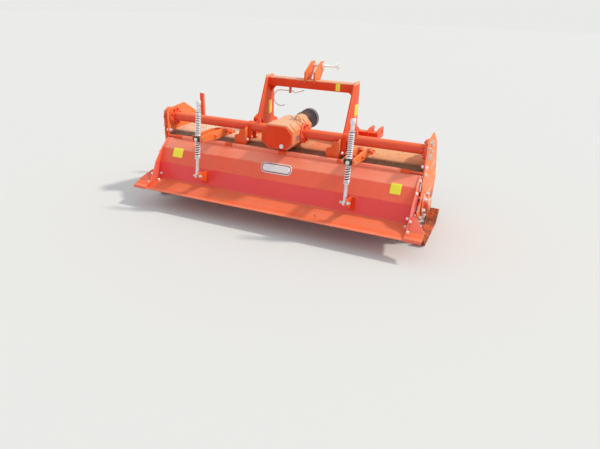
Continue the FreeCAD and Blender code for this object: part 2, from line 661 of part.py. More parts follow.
# Lower hitch: on each side a stub from the tower plate and two eared plates.
ear_corners = [
    ("sizes.hitch_y - 140", "sizes.hitch_z - 40"), ("sizes.hitch_y - 140", "sizes.hitch_z + 20"),
    ("sizes.hitch_y - 85", "sizes.hitch_z + 42"), ("sizes.hitch_y + sizes.hitch_eye", "sizes.hitch_z + 40"),
    ("sizes.hitch_y + sizes.hitch_eye", "sizes.hitch_z - 40"),
]
for side, hand in sides:
    ears = []
    for ear, offset in (("inner", "-sizes.hitch_gap / 2 - sizes.hitch_skin"),
                        ("outer", "sizes.hitch_gap / 2")):
        name = "%s_hitch_%s" % (side, ear)
        ears.append(slab(name, "sizes.hitch_skin", ear_corners,
                         "%d * sizes.hitch_half + %s" % (hand, offset)))
    inner_end = "sizes.tower_half + sizes.tower_skin / 2"
    outer_end = "sizes.hitch_half + sizes.hitch_gap / 2 + sizes.hitch_skin"
    stub_x = inner_end if hand > 0 else "-(%s)" % outer_end
    stub = block(side + "_hitch_stub", "%s - (%s)" % (outer_end, inner_end), 70, 55, stub_x,
                 "sizes.hitch_y - 135", "sizes.hitch_z - 37")
    bore = rod(side + "_hitch_bore", "sizes.hitch_bore", "sizes.hitch_gap + 4 * sizes.hitch_skin",
               "%d * sizes.hitch_half - sizes.hitch_gap / 2 - 2 * sizes.hitch_skin" % hand,
               "sizes.hitch_y", "sizes.hitch_z")
    finish(cut(side + "_hitch_piece", join(side + "_hitch_solid", ears + [stub]), [bore]),
           side + "_hitch_bracket")

# Tube brackets: a stepped face plate and a gusset between the deck and each cross tube.
for side, low_x in (("left", -417), ("right", 322)):
    face = slab(side + "_bracket_face", 8, [
        (low_x + 14, "sizes.hinge_z"), (low_x + 96, "sizes.hinge_z"), (low_x + 96, 475), (low_x + 48, 475),
        (low_x + 36, 434), (low_x + 10, 430), (low_x, 418), (low_x, "sizes.hinge_z + 14"),
    ], 0, "XZ")
    bind(face, ".Placement.Base.y", 30)
    gusset = slab(side + "_bracket_gusset", 10, [
        (24, "sizes.hinge_z"), (24, 475), (40, 490), ("sizes.tube_y + 20", 490),
        ("sizes.tube_y + 20", "sizes.deck_level"), ("sizes.deck_rear_bend", "sizes.deck_level"),
        (30, "sizes.hinge_z"),
    ], low_x + 86)
    room = rod(side + "_bracket_room", "sizes.tube_radius", 300, low_x - 100, "sizes.tube_y",
               "sizes.tube_z")
    under = slab(side + "_bracket_under", 300, [
        (0, 300), (12, "sizes.hinge_z + 5"), ("sizes.deck_rear_bend", "sizes.deck_level"), (160, 300),
    ], low_x - 100)
    finish(cut(side + "_tube_bracket_piece", join(side + "_bracket_solid", [face, gusset]),
               [room, under]), side + "_tube_bracket")

# Rod arms: two cheeks from the deck back to the collar.
arm_corners = [
    ("sizes.deck_rear_bend + 50", "sizes.deck_level"), ("sizes.deck_rear_bend + 50", "sizes.deck_level + 34"),
    ("sizes.tube_y", "sizes.deck_level + 52"), (0, "sizes.collar_z + 26"),
    ("sizes.collar_y - 22", "sizes.collar_z + 20"), ("sizes.collar_y - 22", "sizes.collar_z - 20"),
    (-20, "sizes.hinge_z + 36"), ("sizes.deck_rear_bend - 20", "sizes.deck_level"),
]
for side, hand in sides:
    cheeks = []
    for which, offset in (("inner", "-sizes.arm_half_gap - sizes.arm_skin"), ("outer", "sizes.arm_half_gap")):
        cheeks.append(slab("%s_arm_%s" % (side, which), "sizes.arm_skin", arm_corners,
                           "%d * sizes.rod_half + %s" % (hand, offset)))
    base = block(side + "_arm_base", 110, 70, 8, "%d * sizes.rod_half - 55" % hand,
                 "sizes.deck_rear_bend", "sizes.deck_level")
    bore = rod(side + "_arm_bore", "sizes.rod_pin_radius + sizes.running_fit", 120,
               "%d * sizes.rod_half - 60" % hand, "sizes.collar_y", "sizes.collar_z")
    finish(cut(side + "_rod_arm_piece", join(side + "_arm_solid", cheeks + [base]), [bore]),
           side + "_rod_arm")

# Skids: a long shoe with a turned-up nose and two uprights bolted outside the side plates.
skid_line = [
    ("sizes.skid_rear", "-sizes.sole_drop + 40"), ("sizes.skid_rear + 30", "-sizes.sole_drop"),
    ("sizes.skid_front - 105", "-sizes.sole_drop"),
    ("sizes.skid_front", "-sizes.sole_drop + sizes.skid_rise"),
]
for side, hand in sides:
    start = side_outer if hand > 0 else "-(%s + sizes.skid_width)" % side_outer
    shoe = sheet_metal(side + "_shoe", "sizes.skid_width", skid_line, "sizes.skid_skin", 30,
                       False, start, False)
    skid_parts = [shoe]
    for which, low_y, top_z in (("rear", -40, 60), ("front", 318, 60)):
        plate_x = side_outer if hand > 0 else "-(%s + sizes.skid_skin)" % side_outer
        skid_parts.append(block("%s_skid_%s_upright" % (side, which), "sizes.skid_skin", 62,
                                "sizes.sole_drop - sizes.skid_skin / 2 + %d" % top_z, plate_x,
                                low_y, "-sizes.sole_drop + sizes.skid_skin / 2"))
    finish(join(side + "_skid_piece", skid_parts), side + "_skid")

# Parking stand: a sliding leg in a socket outside the left plate.
stand_x = "(-(%s) - sizes.stand_radius - sizes.socket_wall)" % side_outer
socket_outer = rod("socket_outer", "sizes.stand_radius + sizes.socket_wall",
                   "sizes.socket_high - sizes.socket_low", stand_x, "sizes.stand_y",
                   "sizes.socket_low", "Z")
socket_pad = block("socket_pad", 10, 60, 120, "-(%s) - 10" % side_outer, "sizes.stand_y - 30",
                   "sizes.socket_low + 25")
socket_bore = rod("socket_bore", "sizes.stand_radius + sizes.running_fit", 400, stand_x,
                  "sizes.stand_y", -60, "Z")
finish(cut("stand_socket_piece", join("socket_solid", [socket_outer, socket_pad]), [socket_bore]),
       "stand_socket")
leg_outer = rod("leg_outer", "sizes.stand_radius", "sizes.stand_top - sizes.stand_foot", stand_x,
                "sizes.stand_y", "sizes.stand_foot", "Z")
leg_inner = rod("leg_inner", "sizes.stand_radius - sizes.stand_wall",
                "sizes.stand_top - sizes.stand_foot - 10", stand_x, "sizes.stand_y",
                "sizes.stand_foot + 10", "Z")
leg_foot = rod("leg_foot", 36, 8, stand_x, "sizes.stand_y", "sizes.stand_foot", "Z")
finish(join("stand_leg_piece", [cut("leg_tube", leg_outer, [leg_inner]), leg_foot]), "stand_leg")

# Shaft hook: a bent wire that swings in the lug under the bar.
ring = size("hook_ring")
ring_x = size("hook_x") - 84
ring_z = size("hook_z") - ring
ring_open = math.radians(-55)
hook_y = size("hook_y")
ring_start = Vector(ring_x + ring * math.cos(ring_open), hook_y, ring_z + ring * math.sin(ring_open))
tail = [
    Vector(ring_x, hook_y, size("hook_z")), Vector(size("hook_x") + 22, hook_y, size("hook_z")),
    Vector(size("hook_x") + 38, hook_y, size("hook_z") - 14),
    Vector(size("hook_x") + 118, hook_y, size("hook_z") + 12),
]
hook_wire = Part.Wire([
    Part.Arc(ring_start, Vector(ring_x - ring, hook_y, ring_z), tail[0]).toShape()
] + [run.toShape() for run in rounded_run(tail, (8, 8))])
hook_section = Part.Wire([Part.Circle(
    ring_start, Vector(-math.sin(ring_open), 0, math.cos(ring_open)), size("hook_wire")).toShape()])
hook = doc.addObject("Part::Feature", "shaft_hook_piece")
hook.Shape = hook_wire.makePipeShell([hook_section], True, False)
finish(hook, "shaft_hook")

# Hood: the levelling board, one bent sheet with its share of the hinge knuckles.
hood_line = [
    (-9, "sizes.hinge_z - 9"), (-89, 278), (-143, 174), (-167, 49), ("-sizes.rear_reach + 3", 9),
]
hood_sheet = sheet_metal("hood_skin", "sizes.hood_width", hood_line, "sizes.hood_skin", 18)
hood_cleared = cut("hood_cleared", hood_sheet, hinge_clearing("hood_notch", deck_knuckles))
hood_solid = join("hood_solid", [hood_cleared] + knuckles("hood_knuckle", hood_knuckles))
finish(cut("hood_sheet_piece", hood_solid, [hinge_bore("hood_hinge_bore")]), "hood_sheet")

end_corners = [
    (-16, "sizes.hinge_z - 8"), (-95, 286), (-193, 185), (-232, 108), (-277, 52), (-341, 20),
    (-334, 2), (-160, 38), (-75, 62), (18, 135), (22, 318),
]
for side, hand in sides:
    start = "sizes.hood_width / 2" if hand > 0 else "-sizes.hood_width / 2 - sizes.end_skin"
    plate(side + "_hood_end", "sizes.end_skin", end_corners, (), start)

# Wings: folded deflectors bolted outside the hood's ends.
wing_line = [(-196, 118), (-273, 42), ("-sizes.rear_reach + 5", 22), ("-sizes.rear_reach", 2)]
for side, hand in sides:
    start = "sizes.hood_width / 2 + sizes.end_skin"
    if hand < 0:
        start = "-(%s) - sizes.wing_reach" % start
    wing = sheet_metal(side + "_wing_sheet", "sizes.wing_reach", wing_line, "4", 10, midplane=False)
    reach = "sizes.wing_reach" if hand > 0 else "0"
    inner = "30" if hand > 0 else "sizes.wing_reach - 30"
    corner = slab(side + "_wing_corner", 250, [
        (inner, 122), (inner, 200), ("%s + %d" % (reach, 10 * hand), 200),
        ("%s + %d" % (reach, 10 * hand), 42),
    ], 0, "XZ")
    bind(corner, ".Placement.Base.y", -100)
    finish(cut(side + "_wing_piece", wing, [corner]), side + "_hood_wing", start)

# Rod brackets: an ear and a bolted foot on the hood's steep panel.
for side, hand in sides:
    ear_x = "%d * sizes.rod_half + sizes.rod_eye_skin / 2 + 1" % hand
    ear = slab(side + "_rod_ear", 8, [
        (-150, 163), (-163.5, 78), ("sizes.rod_foot_y + 6", "sizes.rod_foot_z - 24"),
        ("sizes.rod_foot_y - 22", "sizes.rod_foot_z - 12"),
        ("sizes.rod_foot_y - 22", "sizes.rod_foot_z + 14"),
        ("sizes.rod_foot_y + 6", "sizes.rod_foot_z + 24"),
    ], ear_x)
    foot = slab(side + "_rod_ear_foot", 52, [
        (-145, 165), (-163.2, 70), (-171, 71.5), (-152.8, 166.5),
    ], ear_x + (" - 8" if hand > 0 else " - 36"))
    slot = rod(side + "_rod_ear_hole", "sizes.rod_pin_radius + sizes.rod_pin_slack", 40,
               ear_x + " - 10", "sizes.rod_foot_y", "sizes.rod_foot_z")
    finish(cut(side + "_rod_bracket_piece", join(side + "_rod_bracket_solid", [ear, foot]), [slot]),
           side + "_rod_bracket")

# Rods, collars and springs stand on one line, from the foot pin through the collar.
rod_lean = math.degrees(math.atan2(size("collar_y") - size("rod_foot_y"),
                                   size("collar_z") - size("rod_foot_z")))
rod_turn = Rotation(Vector(1, 0, 0), -rod_lean)
collar_at = math.hypot(size("collar_y") - size("rod_foot_y"), size("collar_z") - size("rod_foot_z"))


def rod_line(label, solid, hand):
    # A piece drawn up the Z axis is leaned onto the rod's line, with the foot pin as zero.
    item = doc.addObject("Part::Feature", label + "_piece")
    item.Shape = solid
    finish(item, label)
    item.Placement = Placement(Vector(), rod_turn)
    locate(item, "%d * sizes.rod_half" % hand, seat_y + " + sizes.rod_foot_y",
           seat_z + " + sizes.rod_foot_z")
    return item


def upright(radius, low, high, bore=0):
    solid = Part.makeCylinder(radius, high - low, Vector(0, 0, low))
    if bore:
        solid = solid.cut(Part.makeCylinder(bore, high - low, Vector(0, 0, low)))
    return solid


for side, hand in sides:
    radius, eye = size("rod_radius"), size("rod_eye_radius")
    skin, pin = size("rod_eye_skin"), size("rod_pin_radius")
    stop = size("stop_height")
    spindle = upright(radius, 40, size("rod_top"))
    spindle = spindle.fuse(upright(size("spring_radius"), size("low_stop"), size("low_stop") + stop))
    spindle = spindle.fuse(upright(size("spring_radius"), size("top_stop"), size("top_stop") + stop))
    spindle = spindle.fuse(upright(size("spring_radius") - 4, size("rod_top") - 22, size("rod_top") + 4))
    eye_plate = Part.makeCylinder(eye, skin, Vector(-skin / 2, 0, 0), Vector(1, 0, 0))
    eye_plate = eye_plate.fuse(Part.makeBox(skin, 2 * radius, 45, Vector(-skin / 2, -radius, 0)))
    bolt = Part.makeCylinder(pin, 38, Vector(-skin / 2 - 8, 0, 0), Vector(1, 0, 0))
    bolt = bolt.fuse(Part.makeCylinder(13, 8, Vector(-skin / 2 - 8, 0, 0), Vector(1, 0, 0)))
    bolt = bolt.fuse(Part.makeCylinder(13, 8, Vector(skin / 2 + 11, 0, 0), Vector(1, 0, 0)))
    rod_line(side + "_spring_rod", spindle.fuse([eye_plate, bolt]).removeSplitter(), hand)

    half = size("collar_height") / 2
    collar = upright(size("collar_radius"), collar_at - half, collar_at + half)
    trunnion = Part.makeCylinder(pin, 84, Vector(-42, 0, collar_at), Vector(1, 0, 0))
    collar = collar.fuse(trunnion).cut(
        upright(radius + size("running_fit"), collar_at - half - 5, collar_at + half + 5))
    rod_line(side + "_rod_collar", collar, hand)

    coil_bore = size("spring_radius") - size("spring_wire")
    gap = size("seam")
    rod_line(side + "_lower_spring", upright(
        size("spring_radius"), size("low_stop") + stop + gap, collar_at - half - gap, coil_bore), hand)
    rod_line(side + "_upper_spring", upright(
        size("spring_radius"), collar_at + half + gap, size("top_stop") - gap, coil_bore), hand)

doc.recompute()
faults = []
for item in doc.Objects:
    if "Invalid" in item.State or "Error" in item.State:
        faults.append("%s %s" % (item.Name, item.State))
for item in subparts:
    shape = item.Shape
    if shape.isNull() or not shape.isValid() or not shape.Solids:
        faults.append("%s has no valid solid" % item.Label)
if faults:
    raise RuntimeError("; ".join(faults))

os.makedirs("parts", exist_ok=True)
for item in subparts:
    item.Shape.exportStep("parts/%s.step" % item.Label)
print(len(subparts), "sub-parts")
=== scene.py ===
import json
import math
import random

import bmesh
import bpy
from mathutils import Matrix, Vector, noise
from mathutils.bvhtree import BVHTree


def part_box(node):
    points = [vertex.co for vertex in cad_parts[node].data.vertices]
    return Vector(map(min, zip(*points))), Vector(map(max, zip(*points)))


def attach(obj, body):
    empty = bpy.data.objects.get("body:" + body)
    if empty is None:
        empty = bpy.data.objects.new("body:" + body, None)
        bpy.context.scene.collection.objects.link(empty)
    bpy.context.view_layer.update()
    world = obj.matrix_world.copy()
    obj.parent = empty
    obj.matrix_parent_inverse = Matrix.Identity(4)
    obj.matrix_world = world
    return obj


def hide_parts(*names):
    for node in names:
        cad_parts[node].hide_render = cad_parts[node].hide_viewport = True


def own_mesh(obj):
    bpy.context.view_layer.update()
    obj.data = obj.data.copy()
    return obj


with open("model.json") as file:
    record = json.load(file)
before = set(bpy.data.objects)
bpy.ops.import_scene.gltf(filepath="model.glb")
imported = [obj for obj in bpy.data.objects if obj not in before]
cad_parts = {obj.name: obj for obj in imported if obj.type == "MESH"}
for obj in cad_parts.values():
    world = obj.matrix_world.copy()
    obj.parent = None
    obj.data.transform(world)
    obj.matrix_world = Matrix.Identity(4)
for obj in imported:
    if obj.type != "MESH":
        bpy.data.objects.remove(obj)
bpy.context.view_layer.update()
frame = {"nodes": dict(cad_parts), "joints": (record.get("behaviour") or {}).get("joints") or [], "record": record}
nodes = frame["nodes"]
joints = {joint["name"]: joint for joint in frame["joints"]}
bodyOf = {name: body for body, names in frame["record"]["behaviour"]["bodies"].items()
          for name in names}
print("frame loaded:", len(nodes), "nodes")

# where the photograph was taken from, in metres and degrees
viewpoint = {
    "place": (1.4985, -3.3993, 1.4999),
    "yaw": 22.798,
    "pitch": 24.081,
    "roll": 1.922,
    "lens": 29.996,
    "sensor": 36.0,
}


def makeCamera():
    data = bpy.data.cameras.new("photoCamera")
    data.lens = viewpoint["lens"]
    data.sensor_width = viewpoint["sensor"]
    data.clip_start = 0.05
    camera = bpy.data.objects.new("photoCamera", data)
    bpy.context.scene.collection.objects.link(camera)
    yaw, pitch, roll = (math.radians(viewpoint[key]) for key in ("yaw", "pitch", "roll"))
    aim = Matrix.Rotation(yaw, 4, "Z") @ Matrix.Rotation(math.pi / 2 - pitch, 4, "X")
    aim = aim @ Matrix.Rotation(roll, 4, "Z")
    camera.matrix_world = Matrix.Translation(viewpoint["place"]) @ aim
    bpy.context.scene.camera = camera


makeCamera()
print("camera placed")


class Signal:
    # one output socket, with the arithmetic of a Math node
    def __init__(self, shader, socket):
        self.shader = shader
        self.socket = socket

    def math(self, operation, *others):
        return self.shader.signal(0, "ShaderNodeMath", {"operation": operation},
                                  (self, *others))

    def __add__(self, other):
        return self.math("ADD", other)

    __radd__ = __add__

    def __mul__(self, other):
        return self.math("MULTIPLY", other)

    __rmul__ = __mul__

    def __sub__(self, other):
        return self.math("SUBTRACT", other)

    def __rsub__(self, other):
        return (self * -1) + other

    def least(self, other):
        return self.math("MINIMUM", other)

    def step(self, low, high):
        # 0 below low, 1 above high, smooth between them
        return self.shader.signal(
            "Result", "ShaderNodeMapRange", {"interpolation_type": "SMOOTHSTEP"},
            {"Value": self, "From Min": low, "From Max": high})


class NodeTree:
    # every node of a material or of the world is made by node()
    def __init__(self, tree):
        self.tree = tree

    def node(self, kind, settings=None, values=None):
        made = self.tree.nodes.new(kind)
        for key, value in (settings or {}).items():
            setattr(made, key, value)
        self.fill(made, values)
        return made

    def signal(self, output, kind, settings=None, values=None):
        # one output of a new node
        return Signal(self, self.node(kind, settings, values).outputs[output])

    def fill(self, made, values):
        # numbers, colours or links for a node's sockets, by name or in order
        pairs = values.items() if isinstance(values, dict) else enumerate(values or ())
        for key, value in pairs:
            if isinstance(value, Signal):
                self.tree.links.new(value.socket, made.inputs[key])
            else:
                made.inputs[key].default_value = value


class Shader(NodeTree):
    def __init__(self, name):
        self.material = bpy.data.materials.new(name)
        self.material.use_nodes = True
        super().__init__(self.material.node_tree)
        self.surface = self.tree.nodes["Principled BSDF"]
        self.place = self.signal("Object", "ShaderNodeTexCoord")
        self.normal = self.signal("Normal", "ShaderNodeNewGeometry")

    def part(self, vector, axis):
        return self.signal("XYZ".index(axis), "ShaderNodeSeparateXYZ", None, (vector,))

    def noise(self, scale, detail, roughness, stretch=None):
        vector = self.place
        if stretch:
            vector = self.signal(0, "ShaderNodeMapping", None,
                                 {"Vector": vector, "Scale": stretch})
        return self.signal(
            "Fac", "ShaderNodeTexNoise", None,
            {"Vector": vector, "Scale": scale, "Detail": detail, "Roughness": roughness})

    def mask(self, name):
        # a mask kept on the mesh, 0 where the mesh has none
        return self.signal("Fac", "ShaderNodeAttribute", {"attribute_name": name})

    def mix(self, amount, first, second):
        # sockets 6 and 7 are the Mix node's two colours, output 2 is the mixed one
        return self.signal(2, "ShaderNodeMix", {"data_type": "RGBA"},
                           {0: amount, 6: self.color(first), 7: self.color(second)})

    def color(self, value):
        return value if isinstance(value, Signal) else (*value, 1.0)

    def bump(self, height, distance, strength=1.0):
        self.feed("Normal", self.signal(
            0, "ShaderNodeBump", None,
            {"Height": height, "Distance": distance, "Strength": strength}))

    def feed(self, socket, value):
        self.fill(self.surface, {socket: value})


# linear colours of the machine's finishes
paintColors = {
    "fresh": (0.80, 0.044, 0.005),
    "faded": (0.86, 0.100, 0.028),
    # paler sunlit orange: partly sun-bleached paint, partly painted sunlight
    "bleachedSunlit": (0.95, 0.225, 0.058),
    # pink crimson of the hood's steep panel: partly chalky haze, partly a painted tint of the sky-lit shade
    "crimsonHazeShade": (0.90, 0.086, 0.088),
    "salmon": (0.95, 0.165, 0.095),
    "chalk": (0.93, 0.360, 0.235),
    "dust": (0.500, 0.275, 0.130),
    "paleDust": (0.760, 0.420, 0.215),
    "chalkDust": (0.840, 0.520, 0.330),
    "pressedDust": (0.900, 0.700, 0.520),
    # dark brown of the band before the hinge: partly dirt, partly a painted shadow of the cross tube
    "grimeAndTubeShadow": (0.120, 0.074, 0.048),
    "scuff": (0.780, 0.640, 0.560),
    "soil": (0.105, 0.058, 0.036),
    "rust": (0.115, 0.034, 0.014),
    "primer": (0.300, 0.120, 0.070),
}
dustTones = ("dust", "paleDust", "chalkDust", "pressedDust", "grimeAndTubeShadow")
metalColors = {
    "tarnish": (0.16, 0.075, 0.035),
    # dark grey painted shade on the rods inside their springs
    "springShade": (0.105, 0.092, 0.100),
    "darkRust": (0.10, 0.05, 0.03),
    "rust": (0.20, 0.085, 0.04),
    "scoured": (0.42, 0.38, 0.34),
    "bareEdge": (0.46, 0.42, 0.38),
}
soilColors = {"damp": (0.36, 0.215, 0.120), "dry": (0.56, 0.350, 0.200)}
# the paint's noises: scale, detail, roughness and, for some, how they are stretched
paintNoises = {
    "clouds": (3.1, 4.0, 0.6),
    "patches": (9.0, 5.0, 0.65),
    "fine": (70.0, 4.0, 0.7),
    "speckle": (260.0, 2.0, 0.6),
    "streaks": (14.0, 4.0, 0.6, (1.0, 1.0, 0.12)),
    "scratches": (24.0, 2.0, 0.4, (0.25, 1.0, 5.0)),
    "rubbed": (19.0, 5.0, 0.7, (1.0, 0.35, 1.0)),
    "waves": (4.5, 2.0, 0.4),
}


def paintedSteel(name, fade, chalky, dusty, chips, soilLine=0.0, rough=0.40, grain=0.0,
                 wavy=0.0, dustTone="dust", scuffed=0.0, bleachAndSunlight=0.4, pale=0.0, edgeWearAndHighlight=1.0,
                 coat=0.0, bands=()):
    # weathered enamel: fading, chalk, dust that lies on upward faces, chips and soil below, and a paler tone on
    # faces turned up or sideways that is partly sun bleaching, partly painted sunlight
    shader = Shader(name)
    upward = shader.part(shader.normal, "Z")
    sideways = shader.part(shader.normal, "X").math("ABSOLUTE")
    height = shader.part(shader.place, "Z")
    edge = shader.mask("edge") * edgeWearAndHighlight
    clouds, patches, fine, speckle, streaks = (
        shader.noise(*paintNoises[pattern])
        for pattern in ("clouds", "patches", "fine", "speckle", "streaks"))

    sunny = (clouds * 0.7 + patches * 0.5 + upward.step(0.1, 1.0) * 0.25).step(
        0.95 - fade, 1.25 - fade * 0.4)
    color = shader.mix(sunny, paintColors["fresh"], paintColors["faded"])
    # painted sunlight, partly real sun bleaching: faces that look up or sideways, and patches where pale is set,
    # turn to the paler sunlit tone
    bleachedSunlitFaces = (upward.step(0.3, 0.95) + sideways.step(0.5, 0.95) * 0.9).least(1.0)
    bleachedSunlitFaces = bleachedSunlitFaces * (clouds * 0.6 + 0.7).least(1.0) * bleachAndSunlight + pale * patches
    color = shader.mix(bleachedSunlitFaces.least(1.0), color, paintColors["bleachedSunlit"])
    chalk = (patches * 0.6 + streaks * 0.6).step(0.78 - chalky * 0.5, 1.0 - chalky * 0.2)
    color = shader.mix((chalk * chalky * 2.0).least(0.8), color, paintColors["chalk"])

    # dust settles on what faces up and clings in the noise
    settled = upward.step(0.35, 0.98) * (patches * 0.8 + fine * 0.5).step(
        0.80 - dusty * 0.45, 1.05 - dusty * 0.25)
    haze = (streaks + clouds * 0.4).step(0.55, 1.0) * 0.22
    dust = (settled * dusty * 1.2 + haze * dusty).least(0.92)
    color = shader.mix(dust, color, paintColors[dustTone])

    # each band lies between four values along an axis: faint, full, full, faint
    bandDust = 0.0
    for axis, values, tone, amount in bands:
        along = shader.part(shader.place, axis) + (patches - 0.5) * 0.012
        inside = along.step(values[0], values[1]) * (1 - along.step(values[2], values[3]))
        inside = inside * (streaks * 0.5 + fine * 0.3 + 0.45).least(1.0) * amount
        if tone == "pressedDust":
            inside = inside * upward.step(0.55, 0.95) * (patches * 1.2 + 0.30).least(1.0)
        color = shader.mix(inside, color, paintColors[tone])
        if tone in dustTones:
            bandDust = inside + bandDust

    # chips show primer with a rusty heart, most of all along the edges
    wear = fine * 0.7 + patches * 0.45 + edge * 0.09
    chipMap = wear.step(0.80 - chips * 0.10, 0.83 - chips * 0.10)
    chipHeart = wear.step(0.83 - chips * 0.10, 0.86 - chips * 0.10)
    # paler edges: partly worn paint, partly a painted highlight along the rounded edges
    color = shader.mix(edge * (fine + 0.1).least(0.6), color, paintColors["chalk"])
    color = shader.mix(chipMap * 0.75, color, paintColors["primer"])
    color = shader.mix(chipHeart, color, paintColors["rust"])
    scratches = shader.noise(*paintNoises["scratches"]).step(0.715, 0.74)
    color = shader.mix((scratches * chips * 0.6).least(1.0), color, paintColors["primer"])
    if scuffed:
        rubbed = shader.noise(*paintNoises["rubbed"])
        low = 1 - height.step(0.30, 0.62)
        rubbed = rubbed.step(0.60 - scuffed * 0.12, 0.70 - scuffed * 0.08) * (low * 0.9 + 0.1)
        color = shader.mix(rubbed * 0.85, color, paintColors["scuff"])

    # soil thrown up and scoured in from below
    splash = 0.0
    if soilLine:
        splash = 1 - (height + patches * 0.12 - 0.06).step(soilLine * 0.4, soilLine + 0.001)
        splash = splash * (fine * 0.6 + patches * 0.7).step(0.50, 0.75)
        color = shader.mix(splash * 0.85, color, paintColors["soil"])

    shader.feed("Base Color", color)
    roughness = dust * 0.4 + chalk * 0.15 + fine * 0.12 + splash * 0.3 + bandDust * 0.35
    shader.feed("Roughness", (roughness + (rough - 0.06)).least(0.95))
    shader.feed("Specular IOR Level", 0.20)
    shader.feed("Coat Weight", coat)
    shader.feed("Coat Roughness", 0.16)
    relief = speckle * (0.10 + grain) + fine * (0.15 + grain) - chipMap * 0.5 + dust * fine * 0.5
    if wavy:
        relief = relief + shader.noise(*paintNoises["waves"]) * wavy
    shader.bump(relief, 0.0012)
    return shader.material


def platedSteel(name, color, tarnish, rough, dusty, metal=1.0, shadedSpan=None):
    # zinc plating: bright metal with a dull bloom, brown in the hollows, and painted shade that darkens it between
    # two heights
    shader = Shader(name)
    upward = shader.part(shader.normal, "Z")
    bloom = shader.noise(34.0, 5.0, 0.65)
    fine = shader.noise(190.0, 3.0, 0.6)
    spots = (bloom * 0.7 + fine * 0.4).step(0.72 - tarnish * 0.2, 0.86 - tarnish * 0.1)
    base = shader.mix(bloom.step(0.3, 0.75), color, [min(1.0, c * 1.25) for c in color])
    base = shader.mix(spots * tarnish, base, metalColors["tarnish"])
    dust = upward.step(0.5, 1.0) * bloom.step(0.4, 0.7) * dusty
    base = shader.mix(dust, base, paintColors["dust"])
    # painted shade: between two heights, where the rod runs inside its springs, it is darkened
    if shadedSpan:
        height = shader.part(shader.place, "Z") + (bloom - 0.5) * 0.006
        shadeInSprings = height.step(shadedSpan[0] - 0.003, shadedSpan[0]) * (
            1 - height.step(shadedSpan[1], shadedSpan[1] + 0.003))
        base = shader.mix(shadeInSprings * 0.94, base, metalColors["springShade"])
    shader.feed("Base Color", base)
    shader.feed("Metallic", (1 - (spots * tarnish + dust).least(1.0) * 0.8) * metal)
    shader.feed("Roughness", bloom * 0.22 + spots * 0.3 * tarnish + (rough - 0.08))
    shader.bump(fine * 0.3 + bloom * 0.3, 0.0006)
    return shader.material


def scouredSteel(name):
    # blade steel: polished by soil towards the tips, brown rust and caked soil at the roots
    shader = Shader(name)
    centre = joints["rotor_spin"]["pos_m"]
    across = shader.part(shader.place, "Y") - centre[1]
    along = shader.part(shader.place, "Z") - centre[2]
    radius = (across * across + along * along).math("SQRT")
    patches = shader.noise(22.0, 5.0, 0.65)
    fine = shader.noise(150.0, 3.0, 0.6)
    polished = (radius + patches * 0.06).step(0.17, 0.235)
    base = shader.mix(patches.step(0.35, 0.7), metalColors["rust"], metalColors["darkRust"])
    base = shader.mix(polished, base, metalColors["scoured"])
    caked = (patches * 0.8 + fine * 0.3).step(0.60, 0.72) * (1 - polished * 0.6)
    base = shader.mix(caked, base, paintColors["soil"])
    base = shader.mix(shader.mask("edge") * 0.5, base, metalColors["bareEdge"])
    shader.feed("Base Color", base)
    shader.feed("Metallic", polished * (1 - caked) * 0.9)
    shader.feed("Roughness", 0.75 - polished * 0.38 + caked * 0.15)
    shader.bump(fine * 0.25 + caked * 0.8, 0.002)
    return shader.material


def blackCoat(name, rough, dusty, base=(0.018, 0.017, 0.017), grain=0.3):
    # black paint or plastic with brown dust on top
    shader = Shader(name)
    upward = shader.part(shader.normal, "Z")
    patches = shader.noise(18.0, 5.0, 0.6)
    fine = shader.noise(170.0, 3.0, 0.6)
    dust = (upward.step(-0.2, 0.9) * 0.8 + 0.15) * (patches + fine * 0.3).step(0.45, 0.85) * dusty
    color = shader.mix(patches, base, [c * 2.2 for c in base])
    color = shader.mix(shader.mask("edge") * 0.4, color, [c * 5.0 for c in base])
    color = shader.mix(dust, color, paintColors["dust"])
    shader.feed("Base Color", color)
    shader.feed("Roughness", dust * 0.4 + fine * 0.15 + (rough - 0.07))
    shader.bump(fine * grain, 0.0008)
    return shader.material


def labelFilm(name, color, worn):
    # a blank foil or moulded plastic: slightly glossy, faded, with scuffs and a dusty film
    shader = Shader(name)
    patches = shader.noise(45.0, 4.0, 0.6)
    fine = shader.noise(320.0, 3.0, 0.6)
    scuffs = (patches * 0.6 + fine * 0.5).step(0.70 - worn * 0.1, 0.80)
    tone = shader.mix(patches.step(0.3, 0.8) * 0.35, color, [c * 0.78 for c in color])
    tone = shader.mix(scuffs * worn * 1.5, tone, paintColors["dust"])
    shader.feed("Base Color", tone)
    shader.feed("Roughness", scuffs * 0.3 + 0.38)
    shader.bump(fine, 0.0002, 0.5)
    return shader.material


def looseSoil(name):
    # crumbs of dry earth
    shader = Shader(name)
    patches = shader.noise(60.0, 5.0, 0.7)
    fine = shader.noise(500.0, 3.0, 0.7)
    color = shader.mix(patches.step(0.3, 0.7), soilColors["damp"], soilColors["dry"])
    shader.feed("Base Color", color)
    shader.feed("Roughness", 0.95)
    shader.bump(patches + fine * 0.5, 0.003)
    return shader.material


